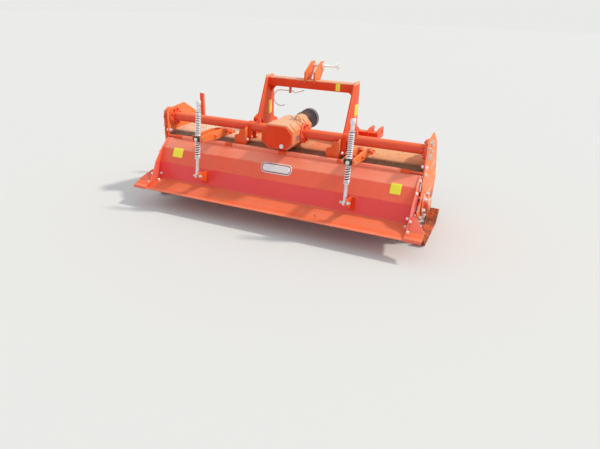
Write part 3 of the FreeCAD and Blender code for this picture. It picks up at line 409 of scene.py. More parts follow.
# each sheet's bands: an axis, four values along it, a tone and how strong it is
hoodBands = (
    ("Z", (0.308, 0.318, 0.600, 0.700), "salmon", 0.80),
    ("Z", (0.410, 0.422, 0.600, 0.700), "chalk", 0.62),
    # the steep panel: partly chalky haze, partly a painted shade tint
    ("Z", (0.184, 0.194, 0.308, 0.318), "crimsonHazeShade", 1.00),
    ("Y", (-0.505, -0.450, -0.375, -0.362), "dust", 0.34),
    ("Y", (-0.512, -0.480, -0.375, -0.362), "salmon", 0.40),
    ("Y", (-0.700, -0.600, -0.518, -0.510), "chalk", 0.40),
)
tubeBands = (("Y", (-1.000, -0.900, 0.900, 1.000), "salmon", 0.42),)
castBands = (
    ("Z", (0.680, 0.705, 0.800, 0.900), "chalkDust", 0.85),
    ("X", (0.040, 0.090, 0.200, 0.300), "paleDust", 0.50),
)
deckBands = (
    ("X", (-1.10, -1.00, -0.50, -0.36), "pressedDust", 1.05),
    ("X", (0.120, 0.180, 0.420, 0.560), "faded", 0.45),
    # dark band before the hinge: partly dirt in the gutter, partly the cross tube's shadow painted in
    ("Y", (-0.300, -0.200, -0.125, -0.065), "grimeAndTubeShadow", 0.98),
    ("Y", (-0.300, -0.250, -0.192, -0.186), "faded", 1.10),
)
towerBands = (("Z", (0.936, 0.942, 1.100, 1.200), "chalkDust", 0.85),)

# how each finish is made, and with what values
finishes = {
    "frameOrange": (paintedSteel, dict(fade=0.36, chalky=0.12, dusty=0.30, chips=0.55,
                                       grain=0.06)),
    "towerOrange": (paintedSteel, dict(fade=0.55, chalky=0.04, dusty=0.12, chips=0.40,
                                       grain=0.06, bleachAndSunlight=0.25, bands=towerBands)),
    # a paler copy of the frame paint for the arms, lugs and brackets: partly chalk, dust and wear, partly painted
    # sunlight all over and painted highlights along the edges
    "armOrange": (paintedSteel, dict(fade=0.45, chalky=0.22, dusty=0.55, chips=0.7,
                                     dustTone="chalkDust", bleachAndSunlight=0.9, pale=0.6, edgeWearAndHighlight=2.2)),
    "tubeOrange": (paintedSteel, dict(fade=0.30, chalky=0.14, dusty=0.15, chips=0.3, rough=0.33,
                                      bleachAndSunlight=0.6, coat=0.15, bands=tubeBands)),
    "deckOrange": (paintedSteel, dict(fade=0.35, chalky=0.2, dusty=1.15, chips=0.6, rough=0.55,
                                      wavy=1.2, dustTone="paleDust", bands=deckBands)),
    "hoodOrange": (paintedSteel, dict(fade=0.42, chalky=0.14, dusty=0.10, soilLine=0.155,
                                      chips=0.3, rough=0.34, wavy=1.6, coat=0.25,
                                      bands=hoodBands)),
    "plateOrange": (paintedSteel, dict(fade=0.45, chalky=0.15, dusty=0.40, soilLine=0.30,
                                       chips=0.9, rough=0.48, scuffed=0.8, bleachAndSunlight=1.0,
                                       pale=0.35)),
    "castOrange": (paintedSteel, dict(fade=0.36, chalky=0.12, dusty=0.70, chips=0.3, rough=0.44,
                                      grain=0.35, dustTone="paleDust", bleachAndSunlight=0.9,
                                      bands=castBands)),
    "coverOrange": (paintedSteel, dict(fade=0.14, chalky=0.02, dusty=0.20, chips=0.2, rough=0.42,
                                       grain=0.2, dustTone="paleDust", edgeWearAndHighlight=0.25)),
    "skidOrange": (paintedSteel, dict(fade=0.3, chalky=0.1, dusty=0.5, soilLine=0.5, chips=1.2,
                                      rough=0.6)),
    "springZinc": (platedSteel, dict(color=(0.84, 0.84, 0.87), tarnish=0.10, rough=0.30,
                                     dusty=0.06, metal=0.55)),
    # the rod carries painted shade between the heights where it runs inside its springs
    "rodZinc": (platedSteel, dict(color=(0.66, 0.62, 0.63), tarnish=0.20, rough=0.34, dusty=0.08,
                                  metal=0.6, shadedSpan=(0.436, 0.758))),
    "boltZinc": (platedSteel, dict(color=(0.66, 0.64, 0.60), tarnish=0.4, rough=0.38, dusty=0.3,
                                   metal=0.85)),
    "brightZinc": (platedSteel, dict(color=(0.80, 0.80, 0.80), tarnish=0.1, rough=0.32,
                                     dusty=0.1, metal=0.55)),
    "hookZinc": (platedSteel, dict(color=(0.86, 0.96, 0.97), tarnish=0.03, rough=0.40,
                                   dusty=0.02, metal=0.0)),
    "shaftSteel": (platedSteel, dict(color=(0.45, 0.42, 0.38), tarnish=0.8, rough=0.40,
                                     dusty=0.1)),
    "bladeSteel": (scouredSteel, {}),
    "rotorBlack": (blackCoat, dict(rough=0.6, dusty=0.8)),
    "collarBlack": (blackCoat, dict(rough=0.38, dusty=0.25)),
    "guardBlack": (blackCoat, dict(base=(0.020, 0.019, 0.022), rough=0.50, dusty=0.22,
                                   grain=0.5)),
    "guardGrey": (blackCoat, dict(base=(0.19, 0.20, 0.21), rough=0.6, dusty=0.1, grain=0.5)),
    "whitePlastic": (labelFilm, dict(color=(0.84, 0.83, 0.82), worn=0.2)),
    "labelYellow": (labelFilm, dict(color=(0.96, 0.84, 0.045), worn=0.15)),
    "labelWhite": (labelFilm, dict(color=(0.86, 0.80, 0.79), worn=0.2)),
    "labelRim": (labelFilm, dict(color=(0.30, 0.028, 0.030), worn=0.1)),
    "plateAlloy": (platedSteel, dict(color=(0.62, 0.62, 0.61), tarnish=0.2, rough=0.42,
                                     dusty=0.3)),
    "soil": (looseSoil, {}),
}
materials = {name: make(name, **values) for name, (make, values) in finishes.items()}
print("materials done:", len(materials))


def newPiece(name, mesh, finish, body, smooth=35):
    # a finished bmesh becomes an object that rides on a body
    bmesh.ops.recalc_face_normals(mesh, faces=mesh.faces)
    data = bpy.data.meshes.new(name)
    mesh.to_mesh(data)
    mesh.free()
    piece = bpy.data.objects.new(name, data)
    bpy.context.scene.collection.objects.link(piece)
    data.materials.append(materials[finish])
    if smooth:
        data.shade_smooth()
        data.set_sharp_from_angle(angle=math.radians(smooth))
    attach(piece, body)
    return piece


def aimed(place, axis, spin=0.0):
    # a transform that stands local Z along an axis at a place
    turn = Vector(axis).normalized().to_track_quat("Z", "Y").to_matrix().to_4x4()
    return Matrix.Translation(place) @ turn @ Matrix.Rotation(spin, 4, "Z")


def addDrum(mesh, place, axis, radius, depth, sides=24, bevel=0.0, tip=None):
    # a round or many-sided boss whose base sits at the place
    made = bmesh.ops.create_cone(
        mesh, cap_ends=True, segments=sides, radius1=radius,
        radius2=radius if tip is None else tip, depth=depth,
        matrix=aimed(place, axis) @ Matrix.Translation((0, 0, depth / 2)))
    if bevel:
        rims = {edge for vertex in made["verts"] for edge in vertex.link_edges
                if any(len(face.verts) > 4 for face in edge.link_faces)}
        bmesh.ops.bevel(mesh, geom=list(rims), offset=bevel, affect="EDGES", segments=2,
                        profile=0.5, material=-1)


def addBolt(mesh, place, axis, across, spin=0.0, washer=True, stub=0.0):
    # hexagon head or nut on a washer, with a stub of thread where it is a nut
    axis = Vector(axis).normalized()
    place = Vector(place)
    if washer:
        addDrum(mesh, place, axis, across * 0.62, across * 0.12, 20)
        place = place + axis * across * 0.12
    corner = across / math.sqrt(3)
    made = bmesh.ops.create_cone(
        mesh, cap_ends=True, segments=6, radius1=corner, radius2=corner,
        depth=across * 0.62,
        matrix=aimed(place, axis, spin) @ Matrix.Translation((0, 0, across * 0.31)))
    tops = [vertex for vertex in made["verts"] if (vertex.co - place).dot(axis) > across * 0.3]
    edges = {edge for vertex in tops for edge in vertex.link_edges
             if all(end in tops for end in edge.verts)}
    bmesh.ops.bevel(mesh, geom=list(edges), offset=across * 0.07, affect="EDGES",
                    segments=1, profile=0.5, material=-1)
    if stub:
        addDrum(mesh, place + axis * across * 0.6, axis, across * 0.30, stub, 14, across * 0.04)


def addRound(mesh, place, axis, outline, steps=32):
    # an outline of (distance along the axis, radius) turned about the axis
    turn = aimed(place, axis)
    spots = [mesh.verts.new(turn @ Vector((radius, 0, along))) for along, radius in outline]
    edges = [mesh.edges.new(pair) for pair in zip(spots, spots[1:])]
    bmesh.ops.spin(mesh, geom=spots + edges, cent=place, axis=Vector(axis).normalized(),
                   angle=2 * math.pi, steps=steps, use_merge=True, use_duplicate=False)
    bmesh.ops.remove_doubles(mesh, verts=mesh.verts, dist=1e-6)


def addSlab(mesh, corners, normal, depth, bevel=0.001):
    # a plate drawn by its corners, drawn out along a normal, with its edges eased
    face = mesh.faces.new([mesh.verts.new(corner) for corner in corners])
    made = bmesh.ops.extrude_face_region(mesh, geom=[face])
    moved = [item for item in made["geom"] if isinstance(item, bmesh.types.BMVert)]
    bmesh.ops.translate(mesh, vec=Vector(normal).normalized() * depth, verts=moved)
    every = {edge for vertex in list(face.verts) + moved for edge in vertex.link_edges}
    if bevel:
        bmesh.ops.bevel(mesh, geom=list(every), offset=bevel, affect="EDGES", segments=2,
                        profile=0.5, material=-1)


def sweep(mesh, path, radius, sides=12, ripple=0.0, flat=1.0, closed=False, across=None):
    # a bar along a path, one ring extruded to the next; across fixes a flat bar's wide side
    path = [Vector(point) for point in path]
    count = len(path)
    ways = []
    for index in range(count):
        if closed:
            before, after = path[index - 1], path[(index + 1) % count]
        else:
            before, after = path[max(index - 1, 0)], path[min(index + 1, count - 1)]
        ways.append((after - before).normalized())
    up = ways[0].orthogonal().normalized()
    if across:
        sides, shape = 4, (math.sqrt(2), Matrix.Rotation(math.pi / 4, 4, "Z"))
    else:
        shape = (1.0, Matrix.Identity(4))
    made = bmesh.ops.create_circle(mesh, cap_ends=False, segments=sides, radius=shape[0],
                                   matrix=shape[1])
    ring = made["verts"]
    edges = list({edge for vertex in ring for edge in vertex.link_edges})
    turns = []
    for index in range(count):
        way = ways[index]
        if across:
            up = way.cross(Vector(across)).normalized()
        up = (up - way * up.dot(way)).normalized()
        side = up.cross(way) if across else way.cross(up)
        grow = radius * (1 + ripple * noise.noise(path[index] * 90))
        turn = Matrix((side * grow, up * grow * flat, way)).transposed().to_4x4()
        turn.translation = path[index]
        turns.append(turn)
    bmesh.ops.transform(mesh, matrix=turns[0], verts=ring)
    first, previous = list(edges), turns[0]
    for turn in turns[1:]:
        made = bmesh.ops.extrude_edge_only(mesh, edges=edges)
        verts = [item for item in made["geom"] if isinstance(item, bmesh.types.BMVert)]
        edges = [item for item in made["geom"] if isinstance(item, bmesh.types.BMEdge)]
        bmesh.ops.transform(mesh, matrix=turn @ previous.inverted(), verts=verts)
        previous = turn
    if closed:
        bmesh.ops.bridge_loops(mesh, edges=first + edges)
    else:
        bmesh.ops.holes_fill(mesh, edges=first, sides=0)
        bmesh.ops.holes_fill(mesh, edges=edges, sides=0)


def ringOf(count, radius, centre, axis, start=0.0):
    # evenly spaced places on a circle
    turn = aimed(centre, axis)
    places = []
    for index in range(count):
        angle = start + index * 2 * math.pi / count
        places.append(turn @ Vector((radius * math.cos(angle), radius * math.sin(angle), 0)))
    return places


def spread(points, gap):
    # points no further apart than the gap along a line of corners
    found = [Vector(points[0])]
    for before, after in zip(points, points[1:]):
        before, after = Vector(before), Vector(after)
        steps = max(1, int((after - before).length / gap))
        found += [before.lerp(after, index / steps) for index in range(1, steps + 1)]
    return found


sides = (("left", -1), ("right", 1))


def onBothSides(table):
    # a row for the rod_arm gives one for the left_rod_arm and one for the right_rod_arm
    return {side + "_" + name: value for name, value in table.items() for side, hand in sides}


# how far each node's edges are rounded, in metres
eased = {
    "main_deck": 0.0012, "hood_sheet": 0.0012, "gear_case": 0.002, "gear_case_cover": 0.0012,
    "right_bearing_housing": 0.002, "tower_cross_bar": 0.005, "top_link_lugs": 0.0025,
    "top_link_pin": 0.0012, "stand_socket": 0.0012, "stand_leg": 0.0012,
    "gearbox_housing": 0.006, "gearbox_cover": 0.004, "rotor_blades": 0.0012,
    "rotor_shaft": 0.0015, "input_guard": 0.0014,
    **onBothSides({
        "side_plate": 0.002, "tower_plate": 0.0022, "hitch_bracket": 0.0025,
        "tube_bracket": 0.0015, "rod_arm": 0.0015, "skid": 0.0018, "cross_tube": 0.002,
        "hood_end": 0.0015, "hood_wing": 0.001, "rod_bracket": 0.0015, "rod_collar": 0.0018,
    }),
}
# the finish of each node; the rest are frameOrange
nodeFinish = {
    "main_deck": "deckOrange", "hood_sheet": "hoodOrange", "gear_case": "plateOrange",
    "gear_case_cover": "plateOrange", "right_bearing_housing": "plateOrange",
    "hinge_rod": "tubeOrange", "stand_leg": "tubeOrange", "gearbox_housing": "castOrange",
    "gearbox_cover": "coverOrange", "input_guard": "guardBlack", "input_shaft": "shaftSteel",
    "rotor_shaft": "rotorBlack", "rotor_blades": "bladeSteel", "top_link_pin": "brightZinc",
    "shaft_hook": "hookZinc", "tower_cross_bar": "towerOrange", "top_link_lugs": "armOrange",
    **onBothSides({
        "hood_end": "hoodOrange", "hood_wing": "hoodOrange", "side_plate": "plateOrange",
        "skid": "skidOrange", "cross_tube": "tubeOrange", "rod_collar": "collarBlack",
        "spring_rod": "rodZinc", "rod_arm": "armOrange", "tube_bracket": "armOrange",
        "tower_plate": "towerOrange", "upper_spring": "springZinc",
        "lower_spring": "springZinc",
    }),
}


sharpEdge = 33  # degrees between two faces from which an edge is rounded


def easedCopy(nodeName, finish, width):
    # the CAD node's own shape with its outer edges rounded; the rounded strips keep a mask
    mesh = bmesh.new()
    mesh.from_mesh(nodes[nodeName].data)
    bmesh.ops.remove_doubles(mesh, verts=mesh.verts, dist=1e-5)
    bmesh.ops.dissolve_limit(mesh, angle_limit=math.radians(0.4), verts=mesh.verts,
                             edges=mesh.edges)
    mask = mesh.faces.layers.float.new("edge")
    outer = [edge for edge in mesh.edges if len(edge.link_faces) == 2 and edge.is_convex
             and edge.calc_face_angle() > math.radians(sharpEdge)]
    strips = bmesh.ops.bevel(mesh, geom=outer, offset=width, affect="EDGES", segments=2,
                             profile=0.5, material=-1, clamp_overlap=True)
    for face in strips["faces"]:
        face[mask] = 1.0
    piece = newPiece(nodeName + "_eased", mesh, finish, bodyOf[nodeName],
                     40)
    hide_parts(nodeName)


for nodeName, node in nodes.items():
    finish = nodeFinish.get(nodeName, "frameOrange")
    node.data.materials.clear()
    node.data.materials.append(materials[finish])
    if nodeName in eased:
        easedCopy(nodeName, finish, eased[nodeName])
print("edges eased:", len(eased), "nodes")

# places that several pieces share, read from the frame
rotorAxis = Vector(joints["rotor_spin"]["pos_m"])
inputAxis = Vector(joints["input_spin"]["pos_m"])
tubeLow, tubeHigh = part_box("right_cross_tube")
tubeCentre = (tubeLow + tubeHigh) / 2
tubeY, tubeZ = tubeCentre.y, tubeCentre.z
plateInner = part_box("right_side_plate")[0].x
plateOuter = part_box("right_side_plate")[1].x
# the cross tubes' radius and the height of the deck's upper face, in metres
tubeRadius, deckTop = 0.035, 0.528

coil = {"wire": 0.0072, "sides": 8, "stepsPerTurn": 16,
        "upperTurns": 14.5, "lowerTurns": 8.0, "closedTurns": 1.2}


def coilPath(low, high, radius, turns):
    # an open coil with closed ends, from the low point up to the high point
    axis = (high - low).normalized()
    length = (high - low).length
    turn = aimed(low, axis)
    steps = int(turns * coil["stepsPerTurn"])
    wire = coil["wire"]
    closedShare = coil["closedTurns"] / turns
    rise = coil["closedTurns"] * wire
    points = []
    for index in range(steps + 1):
        share = index / steps
        if share < closedShare:
            height = wire / 2 + rise * share / closedShare
        elif share > 1 - closedShare:
            height = length - wire / 2 - rise * (1 - share) / closedShare
        else:
            middle = (share - closedShare) / (1 - 2 * closedShare)
            height = wire / 2 + rise + middle * (length - wire - 2 * rise)
        angle = share * turns * 2 * math.pi
        points.append(turn @ Vector((radius * math.cos(angle), radius * math.sin(angle), height)))
    return points


rodTop = {"span": (0.775, 0.812), "thread": 0.0022, "threadRadius": 0.0128, "coarse": 1.2,
          "stepsPerTurn": 12, "stepAngle": 0.52, "nut": 0.030, "capRadius": 0.0175,
          "capDepth": 0.022}
for side, hand in sides:
    slide = joints[side + "_rod_slide"]
    lean = Vector(slide["axis"]).normalized()
    pivot = Vector(joints[side + "_collar_pivot"]["pos_m"])
    for level, body, turns in (("upper", side + "_collar", coil["upperTurns"]),
                               ("lower", side + "_rod", coil["lowerTurns"])):
        nodeName = "%s_%s_spring" % (side, level)
        along = [(vertex.co - pivot).dot(lean) for vertex in nodes[nodeName].data.vertices]
        away = max(((vertex.co - pivot) - lean * (vertex.co - pivot).dot(lean)).length
                   for vertex in nodes[nodeName].data.vertices)
        low, high = pivot + lean * min(along), pivot + lean * max(along)
        mesh = bmesh.new()
        sweep(mesh, coilPath(low, high, away - coil["wire"] / 2, turns), coil["wire"] / 2,
              coil["sides"])
        spring = newPiece("%s_%s_coil" % (side, level), mesh, "springZinc", body, 60)
        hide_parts(nodeName)
        if level == "lower":
            travel = slide["range_m"][1]
            1 - travel / (high - low).length
            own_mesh(spring)

    # thread, nut and cap at the rod's top
    mesh = bmesh.new()
    onRod = [pivot + lean * ((z - pivot.z) / lean.z) for z in rodTop["span"]]
    length = (onRod[1] - onRod[0]).length
    turns = length / rodTop["thread"] / rodTop["coarse"]
    turn = aimed(onRod[0], lean)
    steps = turns * rodTop["stepsPerTurn"]
    path = []
    for index in range(int(steps) + 1):
        angle = index * rodTop["stepAngle"]
        path.append(turn @ Vector((rodTop["threadRadius"] * math.cos(angle),
                                   rodTop["threadRadius"] * math.sin(angle),
                                   length * index / steps)))
    sweep(mesh, path, rodTop["thread"] / 2, 4)
    addBolt(mesh, onRod[1] - lean * 0.004, lean, rodTop["nut"])
    newPiece(side + "_rod_thread", mesh, "springZinc", side + "_rod", 40)
    mesh = bmesh.new()
    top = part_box(side + "_spring_rod")[1].z
    crown = pivot + lean * ((top - pivot.z) / lean.z) - lean * 0.006
    radius, depth = rodTop["capRadius"], rodTop["capDepth"]
    addRound(mesh, crown - lean * (depth - 0.010), lean,
             ((0, 0), (0, radius), (depth - 0.008, radius), (depth - 0.003, radius * 0.82),
              (depth, radius * 0.45), (depth, 0)), 24)
    newPiece(side + "_rod_cap", mesh, "whitePlastic", side + "_rod", 40)
print("springs done")

# bolts gather in one mesh for each group, with its body, finish and slot
boltGroups = {
    "gearboxCoverBolts": ("frame", "coverOrange", "cast_orange"),
    "tubeFlangeBolts": ("frame", "frameOrange", "orange"),
    "plateNuts": ("frame", "boltZinc", "zinc"),
    "gearCaseBolts": ("frame", "boltZinc", "zinc"),
    "bearingBolts": ("frame", "brightZinc", "zinc"),
    "skidBolts": ("frame", "boltZinc", "zinc"),
    "hingePlateBolts": ("frame", "brightZinc", "zinc"),
    "hoodBolts": ("hood", "brightZinc", "zinc"),
    "armBolts": ("frame", "armOrange", "orange"),
    "leftRodFootBolts": ("left_rod", "boltZinc", "zinc"),
    "rightRodFootBolts": ("right_rod", "boltZinc", "zinc"),
    "guardBolts": ("frame", "boltZinc", "zinc"),
    "bladeBolts": ("rotor", "bladeSteel", "bare_steel"),
}
boltMeshes = {name: bmesh.new() for name in boltGroups}


def groupBolt(group, place, axis, across, spin=0.0, **rest):
    addBolt(boltMeshes[group], place, axis, across, spin, **rest)


# gearbox cover: one bolt near each corner
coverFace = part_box("gearbox_cover")[0].y
coverBolt = {
    "across": 0.013,
    "places": ((-0.108, 0.598), (-0.104, 0.636), (-0.072, 0.692), (0.060, 0.692),
               (0.100, 0.656), (0.098, 0.602), (0.062, 0.558), (-0.056, 0.558)),
}
for x, z in coverBolt["places"]:
    groupBolt("gearboxCoverBolts", (x, coverFace, z), (0, -1, 0), coverBolt["across"], x * 9,
              washer=False)

# tube flanges at the gearbox and at the side plates
flange = {"gearbox": 0.115, "thick": 0.014, "count": 8, "circle": 0.057, "first": 0.39,
          "bolt": 0.017, "nut": 0.019, "stub": 0.007}


def flangeRing(x):
    return ringOf(flange["count"], flange["circle"], (x, tubeY, tubeZ), (1, 0, 0),
                  flange["first"])


flangeFaces = ((flange["gearbox"] + flange["thick"], 1), (plateInner - flange["thick"], -1))
for side, hand in sides:
    for x, way in flangeFaces:
        for spot in flangeRing(hand * x):
            groupBolt("tubeFlangeBolts", spot, (hand * way, 0, 0), flange["bolt"], spot.z * 7)
for spot in flangeRing(plateOuter):
    groupBolt("plateNuts", spot, (1, 0, 0), flange["nut"], spot.z * 7, stub=flange["stub"])

# gear case rim: two arcs and the two straight runs between them
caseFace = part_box("gear_case")[0].x - 0.005
caseBolt = {"across": 0.014, "upper": 0.057, "lower": 0.085, "upperCount": 5, "lowerCount": 6,
            "straight": (0.17, 0.34, 0.51, 0.68, 0.85)}
upperSpot = Vector((caseFace, tubeY, tubeZ))
lowerSpot = Vector((caseFace, rotorAxis.y, rotorAxis.z))
fall = (lowerSpot - upperSpot).normalized()
across = Vector((0, -fall.z, fall.y))
rim = []
for centre, level, way in ((upperSpot, "upper", -1), (lowerSpot, "lower", 1)):
    count = caseBolt[level + "Count"]
    for index in range(count):
        angle = math.radians(90 - 180 * index / (count - 1))
        outward = across * math.sin(angle) + fall * way * math.cos(angle)
        rim.append(centre + outward * caseBolt[level])
for sign in (-1, 1):
    for share in caseBolt["straight"]:
        radius = caseBolt["upper"] + (caseBolt["lower"] - caseBolt["upper"]) * share
        rim.append(upperSpot.lerp(lowerSpot, share) + across * sign * radius)
for index, spot in enumerate(rim):
    groupBolt("gearCaseBolts", spot, (-1, 0, 0), caseBolt["across"], index * 0.7)

# bearing housing, skid uprights, hinge ends
bearing = {"count": 6, "circle": 0.074, "first": 0.3, "proud": 0.012, "across": 0.022,
           "stub": 0.006}
bearingCentre = Vector((plateOuter + bearing["proud"], rotorAxis.y, rotorAxis.z))
for spot in ringOf(bearing["count"], bearing["circle"], bearingCentre, (1, 0, 0),
                   bearing["first"]):
    groupBolt("bearingBolts", spot, (1, 0, 0), bearing["across"], spot.z * 5,
              stub=bearing["stub"])
skidBolt = {"y": (-0.2075, 0.1505), "z": (0.16, 0.185), "proud": 0.008, "across": 0.019}
# the hinge plates' bolts: y, z and size
hingeBolts = ((-0.170, 0.528, 0.022), (-0.150, 0.470, 0.017))
for side, hand in sides:
    for y in skidBolt["y"]:
        for z in skidBolt["z"]:
            groupBolt("skidBolts", (hand * (plateOuter + skidBolt["proud"]), y, z),
                      (hand, 0, 0), skidBolt["across"], y * 5)
    for y, z, size in hingeBolts:
        groupBolt("hingePlateBolts", (hand * plateInner, y, z), (-hand, 0, 0), size, y * 9,
                  stub=0.004)
        groupBolt("hingePlateBolts", (hand * plateOuter, y, z), (hand, 0, 0), size, y * 7)

# hood: through its ends, on its steep panel and on the apron beside the wings
hoodEnd = {"x": 1.006, "across": 0.018,
           "places": ((-0.4285, 0.236), (-0.4755, 0.181), (-0.320, 0.392), (-0.235, 0.452),
                      (-0.130, 0.300))}
# the panel's and the apron's: y, z, the way they face and their turn
hoodFront = {"x": 0.980, "across": 0.017,
             "bolts": ((-0.3605, 0.226, (0, -0.982, 0.19), 0.3),
                       (-0.402, 0.1805, (0, -0.227, 0.974), 0.8))}
for side, hand in sides:
    for y, z in hoodEnd["places"]:
        groupBolt("hoodBolts", (hand * hoodEnd["x"], y, z), (hand, 0, 0), hoodEnd["across"],
                  y * 9)
    for y, z, way, spin in hoodFront["bolts"]:
        groupBolt("hoodBolts", (hand * hoodFront["x"], y, z), way, hoodFront["across"], spin)

# rod arms: two bolts and spacers between their cheeks, four bolts on the deck
armBolt = {"places": ((-0.095, 0.556), (-0.255, 0.560)), "across": 0.020, "inset": 0.0185,
           "stub": 0.006, "spacer": 0.008, "spacerInset": 0.026,
           "footY": (-0.035, 0.010), "footInset": 0.010, "footProud": 0.008,
           "footAcross": 0.015}
for side, hand in sides:
    low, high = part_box(side + "_rod_arm")
    for y, z in armBolt["places"]:
        for x, way in ((low.x + armBolt["inset"], -1), (high.x - armBolt["inset"], 1)):
            groupBolt("armBolts", (x, y, z), (way, 0, 0), armBolt["across"], y * 9,
                      stub=armBolt["stub"] if way > 0 else 0)
        addDrum(boltMeshes["armBolts"], (low.x + armBolt["spacerInset"], y, z), (1, 0, 0),
                armBolt["spacer"], high.x - low.x - 2 * armBolt["spacerInset"], 16)
    for x in (low.x + armBolt["footInset"], high.x - armBolt["footInset"]):
        for y in armBolt["footY"]:
            groupBolt("armBolts", (x, y, deckTop + armBolt["footProud"]), (0, 0, 1),
                      armBolt["footAcross"], y * 9)

# rod feet: pin head and nut either side of the hood's ear
rodFoot = {"x": 0.574, "y": -0.4585, "z": 0.295, "head": 0.0195, "nut": 0.0255,
           "across": 0.017, "stub": 0.004}
for side, hand in sides:
    x, y, z = (rodFoot[axis] for axis in "xyz")
    groupBolt(side + "RodFootBolts", (hand * x - rodFoot["head"], y, z), (-1, 0, 0),
              rodFoot["across"], 0.2)
    groupBolt(side + "RodFootBolts", (hand * x + rodFoot["nut"], y, z), (1, 0, 0),
              rodFoot["across"], 0.6, stub=rodFoot["stub"])

# guard flange on the gearbox neck
guardBolt = {"count": 6, "circle": 0.050, "y": 0.1405, "first": 0.2, "across": 0.011}
for spot in ringOf(guardBolt["count"], guardBolt["circle"], (0, guardBolt["y"], inputAxis.z),
                   (0, 1, 0), guardBolt["first"]):
    groupBolt("guardBolts", spot, (0, 1, 0), guardBolt["across"])

# rotor: two bolts through each blade's root, heads on the blade and nuts behind the flange
rotor = {"end": 0.978, "flanges": 9, "perFlange": 6, "skin": 0.010, "blade": 0.008,
         "turn": 23, "radii": (0.064, 0.083), "across": 0.019}


def bladeBolt(spot, face, way, proud, spin):
    spot.x = face + way * proud
    groupBolt("bladeBolts", spot, (way, 0, 0), rotor["across"], spin, washer=False)


pitch = (2 * rotor["end"] - rotor["skin"]) / (rotor["flanges"] - 1)
for index in range(rotor["flanges"]):
    x = -rotor["end"] + index * pitch
    first, last = index == 0, index == rotor["flanges"] - 1
    for number in range(rotor["perFlange"]):
        outward = (number % 2 == 0 or first) and not last
        way = 1 if outward else -1
        face = x + (rotor["skin"] if outward else 0)
        angle = math.radians(number * 60 + index * rotor["turn"])
        for radius in rotor["radii"]:
            spot = rotorAxis + Vector((0, -math.sin(angle), math.cos(angle))) * radius
            bladeBolt(spot, face, way, rotor["blade"], angle)
            if first or last:
                bladeBolt(spot, face, -way, rotor["skin"], angle)

for name, (body, finish, slot) in boltGroups.items():
    newPiece(name, boltMeshes[name], finish, body, 30)
print("bolts done:", len(boltGroups), "groups")

bead = {"radius": 0.0036, "thin": 0.003, "seam": 0.0028, "gap": 0.006, "ripple": 0.5,
        "sides": 6, "lift": 0.0005}


def addBead(mesh, points, radius=bead["radius"], closed=False):
    path = points if closed else spread(points, bead["gap"])
    sweep(mesh, path, radius, bead["sides"], bead["ripple"], closed=closed)


# welds on the frame, where each run starts and ends
welds = {"towerY": (0.012, 0.2180), "barFloor": 0.879, "earX": 0.3715, "earZ": (0.5235, 0.5775),
         "earY": (0.006, 0.074), "armY": (-0.0485, 0.0215),
         "skidY": (-0.2385, 0.1195), "skidZ": (0.100, 0.199),
         "lugX": (-0.044, -0.032, 0.032, 0.044), "lugY": (0.2695, 0.3615), "lugZ": 0.9455}
deckWeld = deckTop + bead["lift"]
barLow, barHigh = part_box("tower_cross_bar")
mesh = bmesh.new()
for side, hand in sides:
    # cross tube into its flanges
    for x, way in flangeFaces:
        addBead(mesh, ringOf(44, tubeRadius + 0.001, (hand * x, tubeY, tubeZ), (1, 0, 0)),
                closed=True)
    # bar's ends on the tower plate, and the plate on the deck
    low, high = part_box(side + "_tower_plate")
    x = hand * (min(abs(low.x), abs(high.x)) - 0.001)
    addBead(mesh, [(x, barLow.y, welds["barFloor"]), (x, barLow.y, barHigh.z),
                   (x, barHigh.y, barHigh.z)])
    for x in (low.x, high.x):
        addBead(mesh, [(x, y, deckWeld) for y in welds["towerY"]])
    # hitch ears on their stub
    x, (floor, top) = hand * welds["earX"], welds["earZ"]
    back, front = (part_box(side + "_hitch_bracket")[0].y + reach for reach in welds["earY"])
    addBead(mesh, [(x, back, floor), (x, back, top), (x, front, top)])
    # rod arm on the deck
    low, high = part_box(side + "_rod_arm")
    for y in welds["armY"]:
        addBead(mesh, [(low.x, y, deckWeld), (high.x, y, deckWeld)])
    # skid uprights on the side plate
    for y in welds["skidY"]:
        addBead(mesh, [(hand * plateOuter, y, z) for z in welds["skidZ"]])
# stand socket on its plate, lugs on the bar
socketLow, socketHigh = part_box("stand_socket")
for y in (socketLow.y, socketHigh.y):
    addBead(mesh, [(-plateOuter, y, socketLow.z), (-plateOuter, y, socketHigh.z)])
for x in welds["lugX"]:
    addBead(mesh, [(x, y, welds["lugZ"]) for y in welds["lugY"]], bead["thin"])
newPiece("weldBeads", mesh, "frameOrange", "frame", 50)

# welds on the hood: each rod bracket's, and the seams between the sheet and its ends
hoodWelds = {"bracketY": -0.3445, "bracketZ": 0.305, "seamX": 1.0005,
             "seam": ((-0.2185, 0.480), (-0.2935, 0.426), (-0.3435, 0.325), (-0.3665, 0.192))}
mesh = bmesh.new()
for side, hand in sides:
    low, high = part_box(side + "_rod_bracket")
    addBead(mesh, [(x, hoodWelds["bracketY"], hoodWelds["bracketZ"]) for x in (low.x, high.x)],
            bead["thin"])
    for ends in zip(hoodWelds["seam"], hoodWelds["seam"][1:]):
        addBead(mesh, [(hand * hoodWelds["seamX"], y, z) for y, z in ends], bead["seam"])
newPiece("hoodBeads", mesh, "hoodOrange", "hood", 50)
print("welds done")

coverPlug = {"place": (0.0392, coverFace, 0.5665), "radius": 0.0125}
radius = coverPlug["radius"]
mesh = bmesh.new()
addRound(mesh, coverPlug["place"], (0, -1, 0),
         ((0, 0), (0, radius * 1.25), (0.003, radius * 1.25), (0.0035, radius),
          (0.010, radius * 0.9), (0.0125, radius * 0.6), (0.0125, 0)), 24)
newPiece("coverPlug", mesh, "whitePlastic", "frame")

